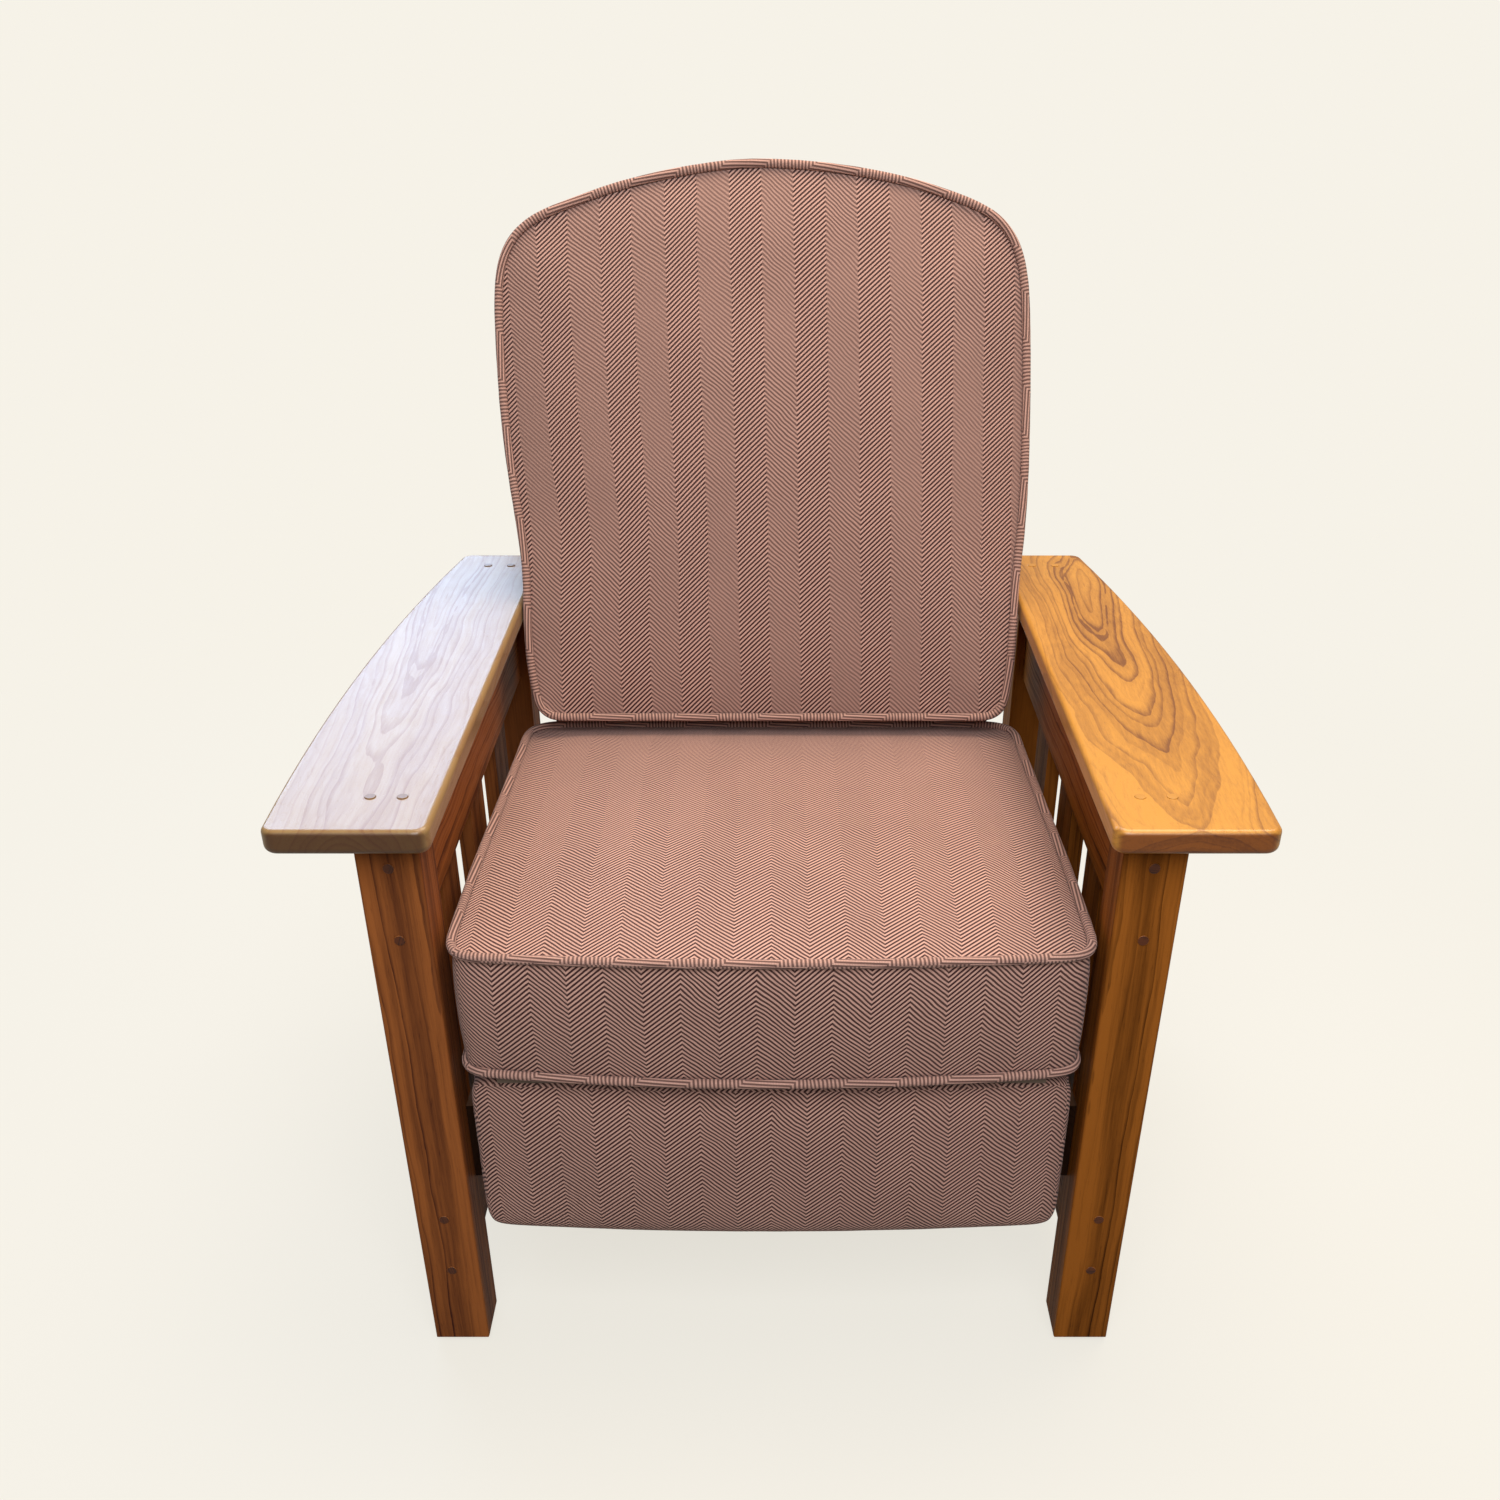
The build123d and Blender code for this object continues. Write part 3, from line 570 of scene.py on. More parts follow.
def spline_point(a, b, c, d, t):
    """The point at share t between b and c of a smooth line through four points."""
    return 0.5 * ((2 * b) + (c - a) * t + (2 * a - 5 * b + 4 * c - d) * t * t
                  + (3 * b - a - 3 * c + d) * t * t * t)


def smooth_line(points, fine=8):
    """A smooth line through points."""
    made = []
    for n in range(len(points) - 1):
        a = points[max(n - 1, 0)]
        d = points[min(n + 2, len(points) - 1)]
        made += [spline_point(a, points[n], points[n + 1], d, k / fine) for k in range(fine)]
    made.append(points[-1].copy())
    return made


def corner_arc(middle, radius, start, end, steps=8):
    """Points of an arc between two angles in degrees."""
    made = []
    for k in range(steps + 1):
        angle = math.radians(start + (end - start) * k / steps)
        made.append(middle + radius * Vector((math.cos(angle), math.sin(angle))))
    return made


def mirrored(points):
    return [Vector((-p.x, p.y)) for p in points]


class Panel:
    """A symmetric four-sided patch, from the right halves of its bottom and top lines and its right side."""

    def __init__(self, half_bottom, side, half_top, across, up):
        self.across = across
        self.up = up
        low = resample(mirrored(half_bottom)[::-1][:-1] + half_bottom, across)
        high = resample(half_top, across)
        right = resample(side, up)
        left = mirrored(right)
        self.grid = []
        for j in range(up + 1):
            t = j / up
            row = []
            for i in range(across + 1):
                s = i / across
                blend = low[i] * (1 - t) + high[i] * t + left[j] * (1 - s) + right[j] * s
                corners = (low[0] * (1 - s) + low[-1] * s) * (1 - t) + (high[0] * (1 - s) + high[-1] * s) * t
                row.append(blend - corners)
            self.grid.append(row)

    def rim(self):
        """Grid places round the edge, anticlockwise."""
        places = [(i, 0) for i in range(self.across)]
        places += [(self.across, j) for j in range(self.up)]
        places += [(i, self.up) for i in range(self.across, 0, -1)]
        places += [(0, j) for j in range(self.up, 0, -1)]
        return places


def fullness(s, t, power=2.4):
    """How far a stuffed panel stands up, from 0 at its seam to 1 in its middle."""
    a = 1 - abs(2 * s - 1) ** power
    b = 1 - abs(2 * t - 1) ** power
    return (max(a, 0.0) * max(b, 0.0)) ** 0.55


def add_mesh(name, vertices, faces, maps, material=None):
    """An object whose faces have their corners' places on the cover in maps, in metres."""
    mesh = bpy.data.meshes.new(name)
    mesh.from_pydata(vertices, [], faces)
    layer = mesh.uv_layers.new(name="cover")
    for polygon, corners in zip(mesh.polygons, maps):
        for loop, corner in zip(polygon.loop_indices, corners):
            layer.data[loop].uv = corner
    if material:
        mesh.materials.append(material)
    piece = bpy.data.objects.new(name, mesh)
    bpy.context.scene.collection.objects.link(piece)
    return piece


def map_corners(start, end, low, high):
    """A strip's quad on the cover, between two places along it and two across it."""
    return [(start, low), (end, low), (end, high), (start, high)]


def add_tube(name, vertices, lengths, widths, material):
    """A closed tube of rings of vertices, with the places of rings and ring points on the cover."""
    size = len(widths) - 1
    count = len(lengths) - 1
    faces = []
    maps = []
    for n in range(count):
        m = (n + 1) % count
        for k in range(size):
            j = (k + 1) % size
            faces.append([n * size + k, m * size + k, m * size + j, n * size + j])
            maps.append(map_corners(lengths[n], lengths[n + 1], widths[k], widths[k + 1]))
    return add_mesh(name, vertices, faces, maps, material)


def swap_mesh(piece, mesh):
    """Gives a piece a new mesh and removes its old one."""
    old = piece.data
    piece.data = mesh
    bpy.data.meshes.remove(old)
    mesh.name = piece.name


def build_cushion(name, panel, place, face, rear, crown, rear_crown, side_bulge, side_steps):
    """A closed cushion mesh: a face panel, a boxing strip and a rear panel.

    place turns (across, up, out) into a point; face and rear give each panel's seam height at a place.
    The seams list their vertices, each with its outward direction in the panel.
    """
    vertices = []
    faces = []
    maps = []
    sheets = []
    for seam_height, rise in ((face, crown), (rear, -rear_crown)):
        sheet = {}
        for j, row in enumerate(panel.grid):
            for i, p in enumerate(row):
                full = fullness(i / panel.across, j / panel.up)
                sheet[i, j] = len(vertices)
                vertices.append(place(p.x, p.y, seam_height(p) + rise * full))
        sheets.append(sheet)
    front, back = sheets
    for j in range(panel.up):
        for i in range(panel.across):
            quad = [(i, j), (i + 1, j), (i + 1, j + 1), (i, j + 1)]
            for sheet in sheets:
                faces.append([sheet[q] for q in quad])
                maps.append([tuple(panel.grid[b][a]) for a, b in quad])
                quad.reverse()
    rim = panel.rim()
    count = len(rim)
    seams = {"face": [], "rear": []}
    columns = []
    lengths = [0.0]
    for n, (i, j) in enumerate(rim):
        p = panel.grid[j][i]
        before = panel.grid[rim[n - 1][1]][rim[n - 1][0]]
        after = panel.grid[rim[(n + 1) % count][1]][rim[(n + 1) % count][0]]
        along = (after - before).normalized()
        outward = Vector((along.y, -along.x))
        lengths.append(lengths[-1] + (after - p).length)
        column = [front[i, j]]
        for k in range(1, side_steps):
            share = k / side_steps
            q = p + outward * (side_bulge * (1 - abs(2 * share - 1) ** 2.4) ** 0.6)
            column.append(len(vertices))
            vertices.append(place(q.x, q.y, face(p) + (rear(p) - face(p)) * share))
        column.append(back[i, j])
        columns.append(column)
        seams["face"].append((front[i, j], outward))
        seams["rear"].append((back[i, j], outward))
    for n, one in enumerate(columns):
        two = columns[(n + 1) % count]
        depth = (vertices[one[0]] - vertices[one[-1]]).length
        for k in range(side_steps):
            faces.append([one[k + 1], two[k + 1], two[k], one[k]])
            low = depth * (1 - (k + 1) / side_steps)
            maps.append(map_corners(lengths[n], lengths[n + 1], low, depth * (1 - k / side_steps)))
    return add_mesh(name, vertices, faces, maps), seams


def seam_vertices(seams):
    return [index for seam in seams.values() for index, outward in seam]


def fill_out(piece, seams, pressure, cap):
    """Fills a cushion out with cloth under pressure, its seams held, and keeps each point within cap."""
    frames = bpy.context.scene.armchair_upholstery.cloth_frames
    start = [v.co.copy() for v in piece.data.vertices]
    held = piece.vertex_groups.new(name="seams")
    held.add(seam_vertices(seams), 1.0, "REPLACE")
    cloth = piece.modifiers.new("filling", "CLOTH")
    for key, value in CLOTH.items():
        setattr(cloth.settings, key, value)
    cloth.settings.uniform_pressure_force = pressure
    cloth.settings.effector_weights.gravity = 0.0
    cloth.collision_settings.use_collision = False
    cloth.point_cache.frame_start = 1
    cloth.point_cache.frame_end = frames
    scene = bpy.context.scene
    for number in range(1, frames + 1):
        scene.frame_set(number)
    evaluated = piece.evaluated_get(bpy.context.evaluated_depsgraph_get())
    moved = [v.co.copy() for v in evaluated.to_mesh().vertices]
    evaluated.to_mesh_clear()
    piece.modifiers.remove(cloth)
    scene.frame_set(1)
    for vertex, old, new in zip(piece.data.vertices, start, moved):
        step = new - old
        if step.length > cap:
            step *= cap / step.length
        vertex.co = old + step


def relax(piece, seams, rounds=2):
    """Evens out a cushion's surface between its seams."""
    held = set(seam_vertices(seams))
    mesh = piece.data
    near = [[] for v in mesh.vertices]
    for edge in mesh.edges:
        a, b = edge.vertices
        near[a].append(b)
        near[b].append(a)
    for turn in range(rounds):
        places = [v.co.copy() for v in mesh.vertices]
        for n, vertex in enumerate(mesh.vertices):
            if n not in held:
                mean = sum((places[m] for m in near[n]), Vector()) / len(near[n])
                vertex.co = places[n].lerp(mean, 0.5)


def pucker(piece, seams, depth):
    """Small pulls in the cover that fade away from the seams, and broad unevenness between them."""
    fade_length = 0.030
    mesh = piece.data
    mesh.update()
    order = seam_vertices(seams)
    tree = KDTree(len(order))
    for n, index in enumerate(order):
        tree.insert(mesh.vertices[index].co.copy(), n)
    tree.balance()
    held = set(order)
    for n, vertex in enumerate(mesh.vertices):
        if n in held:
            continue
        fade = math.exp(-tree.find(vertex.co)[2] / fade_length)
        wave = noise.noise(vertex.co * 42.0) * fade
        broad = noise.noise(vertex.co * 7.0 + Vector((3.1, 0.4, 1.7))) * 2.2 * (1 - fade)
        vertex.co += vertex.normal * depth * (wave * 1.6 + broad)


def finish_cushion(piece, seams, material):
    """Subdivides a cushion once, its seams kept sharp under their welts, and gives it its cover."""
    corners = set(seam_vertices(seams))
    crease = piece.data.attributes.new("crease_edge", "FLOAT", "EDGE")
    for edge in piece.data.edges:
        if edge.vertices[0] in corners and edge.vertices[1] in corners:
            crease.data[edge.index].value = 1.0
    smooth = piece.modifiers.new("smooth", "SUBSURF")
    smooth.levels = 1
    smooth.render_levels = 1
    mesh = bpy.data.meshes.new_from_object(piece.evaluated_get(bpy.context.evaluated_depsgraph_get()))
    piece.modifiers.remove(smooth)
    swap_mesh(piece, mesh)
    mesh.materials.clear()
    mesh.materials.append(material)
    for polygon in mesh.polygons:
        polygon.use_smooth = True


def make_welt(name, piece, seam, turn, up_direction, radius):
    """A covered cord along a seam: a closed tube. turn makes a seam's outward direction one in space."""
    raw = []
    for index, outward in seam:
        point = piece.data.vertices[index].co
        raw.append(point + turn(outward) * WELT_OUT * radius + up_direction * radius * WELT_UP)
    count = len(raw)
    for evening in range(2):
        raw = [raw[n - 1] * 0.25 + raw[n] * 0.5 + raw[(n + 1) % count] * 0.25 for n in range(count)]
    fine = []
    for n in range(count):
        near = raw[n - 1], raw[n], raw[(n + 1) % count], raw[(n + 2) % count]
        fine += [spline_point(*near, k / WELT_FINE) for k in range(WELT_FINE)]
    vertices = []
    lengths = [0.0]
    for n, point in enumerate(fine):
        after = fine[(n + 1) % len(fine)]
        along = (after - fine[n - 1]).normalized()
        lengths.append(lengths[-1] + (after - point).length)
        side = along.cross(up_direction).normalized()
        up = side.cross(along).normalized()
        swell = radius * (1 + 0.05 * noise.noise(point * 60.0))
        for k in range(WELT_SIDES):
            angle = math.tau * k / WELT_SIDES
            vertices.append(point + (side * math.cos(angle) + up * math.sin(angle)) * swell)
    widths = [math.tau * radius * k / WELT_SIDES for k in range(WELT_SIDES + 1)]
    welt = add_tube(name, vertices, lengths, widths, welt_material())
    for polygon in welt.data.polygons:
        polygon.use_smooth = True
    first = welt.data.polygons[0]
    if first.normal.dot(first.center - fine[0]) < 0:
        welt.data.flip_normals()
    return welt


class ARMCHAIR_OT_wood(bpy.types.Operator):
    """Give the arms, posts, rails, slats, plugs and back frame their lacquered walnut"""

    bl_idname = "armchair.wood"
    bl_label = "Finish the wood"

    def execute(self, context):
        wood = context.scene.armchair_wood
        rings = wood.ring_spacing
        for side in SIDES:
            self.finish_side(wood, side)
        frame_wood = wood_material(
            "walnut_back", (0.0, FRONT_Y + 0.70, 0.62), (0, 0, 90.8), wood.post_light, wood.post_dark,
            rings, wander=0.012,
        )
        dress(frame_wood, "back_crest", "back_bottom_rail", "back_slats")
        plug = wood_material(
            "walnut_plugs", (0.30, FRONT_Y, 0.3), (0, 0, 0), [c * 1.15 for c in wood.post_light],
            [c * 1.4 for c in wood.post_dark], rings * 0.4, wander=0.004,
        )
        dress(self.raise_tone(plug, wood), "plugs")
        crosswise = ("stretcher", "rear_apron", "seat_front_rail", "seat_rear_rail")
        lengthwise = both("mechanism_cleat", "seat_side_rail")
        for name, angle, nodes in (
            ("stained_frame_wood", 90, crosswise), ("stained_side_wood", 1, lengthwise),
        ):
            stained = wood_material(
                name, (0.1, FRONT_Y, 0.1), (0, 0, angle), (0.13, 0.062, 0.032), (0.045, 0.022, 0.013),
                rings, wander=0.012, rough=0.55,
            )
            dress(stained, *nodes)
        ply = wood_material(
            "plywood", (0.2, FRONT_Y + 0.2, -0.4), (0, 0, 90), (0.10, 0.055, 0.032), (0.05, 0.028, 0.018),
            rings * 1.4, wander=0.02, rough=0.6,
        )
        dress(ply, "seat_deck", "footrest_board")
        return {"FINISHED"}

    def finish_side(self, wood, side):
        """Gives one side's arm, posts, rails, slats and back stile their boards"""
        ending = "_" + side.name
        rings = wood.ring_spacing
        heart = (
            side.sign * ((ARM_LOW.x + ARM_HIGH.x) / 2 + side.out),
            ARM_LOW.y + (ARM_HIGH.y - ARM_LOW.y) * side.share,
            ARM_HIGH.z + side.rise,
        )
        # On the left, shade and the side's shifts are painted light: window light and its reflection on arm and
        # posts
        arm = wood_material(
            "walnut_arm" + ending, heart, (-side.lean, 0, side.sign * 1.5),
            shifted([c * side.shade for c in wood.arm_light], side.arm_light),
            shifted(wood.arm_dark, side.arm_dark), rings, wander=0.016, rough=0.34, bands=0.38, coat=0.34,
        )
        dress(arm, "arm" + ending)
        light = shifted(wood.post_light, side.post_light)
        dark = shifted(wood.post_dark, side.post_dark)
        posts = wood_material(
            "walnut_posts" + ending, (side.sign * (POST_LOW.x - 0.09), FRONT_Y - 0.16, 0.35), (90.3, 0, 0.2),
            light, dark, rings * 0.85, wander=0.006, bands=0.55,
        )
        dress(posts, "front_post" + ending, "rear_post" + ending)
        rails = wood_material(
            "walnut_rails" + ending, (side.sign * (POST_HIGH.x + 0.10), FRONT_Y, 0.30), (0.6, 0, 0.3),
            light, dark, rings * 0.9, wander=0.012,
        )
        dress(rails, "top_rail" + ending, "bottom_rail" + ending)
        for number in (1, 2, 3):
            node = "slat_" + str(number) + ending
            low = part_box(node)[0]
            slat = wood_material(
                "walnut_" + node, (low.x + side.sign * 0.06, low.y - 0.02 * number, 0.3),
                (89.2 + number * 0.5, 0, 0.5), light, dark, rings, wander=0.012,
            )
            dress(slat, node)
        low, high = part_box("back_stile" + ending)
        middle = (low + high) / 2
        stile = wood_material(
            "walnut_stile" + ending, (middle.x - side.sign * 0.05, middle.y - 0.09, middle.z),
            (90.5 + math.degrees(BACK_LEAN), 0, 0.4), light, dark, rings, wander=0.010,
        )
        dress(stile, "back_stile" + ending)

    def raise_tone(self, plug, wood):
        """Gives the plugs in the arms the arms' own tone, darker in the left arm as painted light, like that
        arm's wood
        """
        build = NodeBuilder(plug.node_tree)
        shader = next(node for node in plug.node_tree.nodes if node.type == "BSDF_PRINCIPLED")
        color = shader.inputs["Base Color"].links[0].from_socket
        parts = build.parts(build.place())
        high = build.remap(parts[2], ARM_LOW.z - 0.01, ARM_LOW.z)
        # Plug tops darker on the left: painted light, matching the left arm's wood, dulled for the window's
        # reflection
        tone = build.grey(build.remap(parts[0], 0.05, -0.05, 0.86, 0.28))
        tone = build.mix(1.0, rgba(wood.arm_light), tone, "MULTIPLY")
        build.feed(shader.inputs["Base Color"], build.mix(high, color, tone))
        build.feed(shader.inputs["Coat Weight"], build.times(high, 0.3))
        shader.inputs["Coat Roughness"].default_value = 0.2
        shader.inputs["Specular IOR Level"].default_value = 0.4
        return plug


class ARMCHAIR_OT_steel(bpy.types.Operator):
    """Give the links, plates, channels, pins, glides and straps their finishes"""

    bl_idname = "armchair.steel"
    bl_label = "Finish the mechanism"

    def execute(self, context):
        black = plain_material("black_steel", (0.030, 0.030, 0.032), 0.42, speckle=0.25, scale=420.0)
        dress(black, *both("slide_channel", "carriage_plate", "hinge_bracket"))
        dress(black, "frame_tube", "carriage_tube", "front_links", "rear_links", "lower_links",
              "upper_links", "footrest_brackets")
        dress(zinc_material(), "screws", "carriage_pins", "hinge_pins", "front_link_pins",
              "lower_link_pins", "footrest_pins")
        dress(plain_material("nylon", (0.06, 0.06, 0.06), 0.6), "floor_glides", "slide_shoes")
        strap = plain_material(
            "strap_weave", (0.10, 0.085, 0.075), 0.9, speckle=0.5, scale=1400.0, bump_depth=0.0006
        )
        dress(strap, "seat_straps")
        return {"FINISHED"}


def seat_panel():
    """Plan of the seat cushion's seam: bowed front, rounded corners, slightly drawn-in sides."""
    half_front = SEAT_HIGH.x - 0.0005
    half_rear = half_front - 0.006
    front = FRONT_Y + 0.002
    rear = SEAT_HIGH.y - 0.004
    bow = 0.022
    radius = 0.016
    rear_radius = 0.03
    corner = Vector((half_front - radius, front + radius - 0.002))
    rear_corner = Vector((half_rear - rear_radius, rear - rear_radius))
    half_bottom = smooth_line([
        Vector((0, front - bow)), Vector((0.10, front - bow + 0.0025)), Vector((0.19, front - bow + 0.0095)),
        Vector((half_front - radius - 0.004, front - 0.0035)),
    ])[:-1] + corner_arc(corner, radius, -88, -45, 5)
    side = corner_arc(corner, radius, -45, 0, 5) + smooth_line([
        Vector((half_front, corner.y + 0.02)), Vector((half_rear, front + 0.26)),
        Vector((half_rear, rear - rear_radius)),
    ]) + corner_arc(rear_corner, rear_radius, 0, 45, 5)
    half_top = corner_arc(rear_corner, rear_radius, 45, 90, 5)
    return Panel(half_bottom, side, mirrored(half_top) + half_top[::-1], 52, 48)


class ARMCHAIR_OT_seat(bpy.types.Operator):
    """Make the seat cushion with its welts"""

    bl_idname = "armchair.seat"
    bl_label = "Make the seat cushion"

    def execute(self, context):
        cover = context.scene.armchair_upholstery
        front = FRONT_Y - 0.02
        length = SEAT_HIGH.y - front
        bottom = DECK_TOP + 0.0105
        corner_drop = 0.0065
        swell = 0.006

        def seam_top(p):
            share = (p.y - front) / length
            near = 1 - min(share * 3, 1.0)
            middle = 0.4935 - corner_drop * near * (p.x / SEAT_HIGH.x) ** 2
            return middle + swell * math.sin(math.pi * min(share * 1.2, 1.0)) - swell * share ** 3

        def seam_bottom(p):
            return bottom - 0.004 * min((p.y - front) / length * 3, 1.0)

        piece, seams = build_cushion(
            "seat_cushion_cover", seat_panel(), lambda a, b, c: Vector((a, b, c)), seam_top, seam_bottom,
            crown=cover.seat_crown, rear_crown=0.004, side_bulge=0.004, side_steps=10,
        )
        fill_out(piece, seams, pressure=2.6, cap=0.022)
        relax(piece, seams)
        pucker(piece, seams, cover.seam_pull)
        for vertex in piece.data.vertices:
            vertex.co.z = max(vertex.co.z, DECK_TOP + 0.0008)
        welts = [
            make_welt(name, piece, seams[which], Vector.to_3d, Vector((0, 0, level)), cover.welt_radius)
            for name, which, level in (("seat_welt_top", "face", 1), ("seat_welt_bottom", "rear", -1))
        ]
        finish_cushion(piece, seams, fabric_material("herringbone_seat"))
        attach(piece, "seat")
        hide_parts("seat_cushion")
        for welt in welts:
            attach(welt, "seat")
        return {"FINISHED"}


def back_panel():
    """The back cushion's seam in its leaning plane: waisted sides, round shoulders, arched top."""
    foot = Vector(BACK_SEAM[0])
    gap = 0.003
    radius = foot.y - gap
    corner = Vector((foot.x + 0.001 - radius, foot.y))
    half_bottom = resample([Vector((0, gap)), Vector((corner.x, gap))], 20)
    half_bottom += corner_arc(corner, radius, -88, -45, 5)
    line = smooth_line([Vector(p) for p in BACK_SEAM])
    shoulder = min(range(len(line)), key=lambda n: abs(line[n].y - SHOULDER_HEIGHT))
    side = corner_arc(corner, radius, -45, -6, 5) + line[: shoulder + 1]
    half_top = line[shoulder:]
    return Panel(half_bottom, side, mirrored(half_top)[:-1] + half_top[::-1], 52, 50)


class ARMCHAIR_OT_back(bpy.types.Operator):
    """Make the back cushion with its welts"""

    bl_idname = "armchair.back"
    bl_label = "Make the back cushion"

    def execute(self, context):
        cover = context.scene.armchair_upholstery
        arm_height, arm_reach = 0.20, 0.08

        def place(a, b, c):
            side = min(max((abs(a) - 0.03) / 0.17, 0.0), 1.0)
            high = min(max((b - 0.30) / 0.22, 0.0), 1.0)
            slump = (cover.left_slump if a < 0 else cover.left_slump * 0.3) * side * high
            wide = 0.0
            if a < 0:
                tuck = cover.arm_tuck * side * math.exp(-((b - arm_height) / arm_reach) ** 2)
                wide = 0.004 * side * high - tuck
            across = Vector((a - wide - cover.back_slant * b, 0, 0))
            return BACK_FOOT + across + BACK_UP * (b - slump) + BACK_OUT * c

        piece, seams = build_cushion(
            "back_cushion_cover", back_panel(), place, lambda p: -0.002, lambda p: -BACK_DEPTH,
            crown=cover.back_crown, rear_crown=0.003, side_bulge=0.002, side_steps=9,
        )
        fill_out(piece, seams, pressure=2.2, cap=0.022)
        relax(piece, seams)
        pucker(piece, seams, cover.seam_pull)
        rear_limit = -BACK_DEPTH - 0.007
        for vertex in piece.data.vertices:
            out = (vertex.co - BACK_FOOT).dot(BACK_OUT)
            if out < rear_limit:
                vertex.co += BACK_OUT * (rear_limit - out)

        def in_plane(outward):
            return Vector((outward.x, 0, 0)) + BACK_UP * outward.y

        welts = [
            make_welt(name, piece, seams[which], in_plane, BACK_OUT * level, cover.welt_radius)
            for name, which, level in (("back_welt_front", "face", 1), ("back_welt_rear", "rear", -1))
        ]
        # The back's cover is darkened by shade: painted shade, as if the cushion stood further from the lamps;
        # its softened columns are painted sheen
        finish_cushion(piece, seams, fabric_material("herringbone_back", shade=0.94, soften=0.66, sheen=0.34))
        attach(piece, "back")
        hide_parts("back_cushion")
        for welt in welts:
            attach(welt, "back")
        return {"FINISHED"}


def footrest_panel():
    """The footrest's face: a wide panel with rounded corners, larger at the bottom."""
    edge = 0.002
    wide = 0.010
    small = 0.008
    half = FOOTREST_HIGH.x - edge
    low = FOOTREST_LOW.z + edge
    corner = Vector((half - wide, low + wide))
    shoulder = Vector((half - small, FOOTREST_HIGH.z - edge - small))
    half_bottom = resample([Vector((0, low)), Vector((corner.x, low))], 20)
    half_bottom += corner_arc(corner, wide, -88, -45, 5)
    side = corner_arc(corner, wide, -45, 0, 5) + corner_arc(shoulder, small, 0, 45, 4)
    half_top = corner_arc(shoulder, small, 45, 90, 4)
    return Panel(half_bottom, side, mirrored(half_top) + half_top[::-1], 54, 18)


def staple_tree():
    """Geometry nodes: arched wire staples in an upright row round a rectangle, each a little askew."""
    name = "Staple row"
    if name in bpy.data.node_groups:
        return bpy.data.node_groups[name]
    tree, build, given, result = new_group(
        name,
        (
            ("Width", "Float", 0.484),
            ("Height", "Float", 0.146),
            ("Spacing", "Float", 0.024),
            ("Crown", "Float", STAPLE_CROWN),
            ("Wire", "Float", STAPLE_WIRE),
            ("Finish", "Material", None),
        ),
        (("Geometry", "Geometry"),),
        "GeometryNodeTree",
    )
    path = build.add(
        "GeometryNodeCurvePrimitiveQuadrilateral", {"Width": given["Width"], "Height": given["Height"]}
    )
    places = build.add(
        "GeometryNodeResampleCurve", {"Curve": path.outputs[0], "Length": given["Spacing"]}, mode="LENGTH"
    )
    half = build.times(given["Crown"], 0.5)
    minus = build.times(half, -1.0)
    legs = build.times(given["Wire"], -3.0)
    rise = build.times(given["Wire"], 3.0)
    arch = build.add("GeometryNodeCurvePrimitiveBezierSegment", {
        "Resolution": 8,
        "Start": build.point(minus, 0.0, legs), "Start Handle": build.point(minus, 0.0, rise),
        "End Handle": build.point(half, 0.0, rise), "End": build.point(half, 0.0, legs),
    })
    wire = build.add("GeometryNodeCurvePrimitiveCircle", {"Resolution": 6, "Radius": given["Wire"]})
    staple = build.add("GeometryNodeCurveToMesh", {
        "Curve": arch.outputs[0], "Profile Curve": wire.outputs[0], "Fill Caps": True,
    })
    tangent = build.add("GeometryNodeInputTangent").outputs[0]
    facing = build.add("FunctionNodeAlignRotationToVector", {"Vector": tangent}, axis="X")
    askew = build.add("FunctionNodeRandomValue", {2: -0.22, 3: 0.22, 8: STAPLE_SEED}, data_type="FLOAT")
    twist = build.add("FunctionNodeAxisAngleToRotation", {"Axis": (0, 0, 1), "Angle": askew.outputs[1]})
    turned = build.add(
        "FunctionNodeRotateRotation", {"Rotation": facing.outputs[0], "Rotate By": twist.outputs[0]},
        rotation_space="LOCAL",
    )
    row = build.add("GeometryNodeInstanceOnPoints", {
        "Points": places.outputs[0], "Instance": staple.outputs[0], "Rotation": turned.outputs[0],
    })
    real = build.add("GeometryNodeRealizeInstances", {"Geometry": row.outputs[0]})
    done = build.add("GeometryNodeSetMaterial", {"Geometry": real.outputs[0], "Material": given["Finish"]})
    build.feed(result["Geometry"], done.outputs[0])
    return tree


def grow(name, tree, **inputs):
    """A plain mesh object made by a geometry node tree with its inputs set by name."""
    piece = bpy.data.objects.new(name, bpy.data.meshes.new(name))
    bpy.context.scene.collection.objects.link(piece)
    modifier = piece.modifiers.new("grow", "NODES")
    modifier.node_group = tree
    for item in tree.interface.items_tree:
        if item.item_type == "SOCKET" and item.in_out == "INPUT":
            modifier[item.identifier] = inputs[item.name]
    mesh = bpy.data.meshes.new_from_object(piece.evaluated_get(bpy.context.evaluated_depsgraph_get()))
    piece.modifiers.remove(modifier)
    swap_mesh(piece, mesh)
    return piece


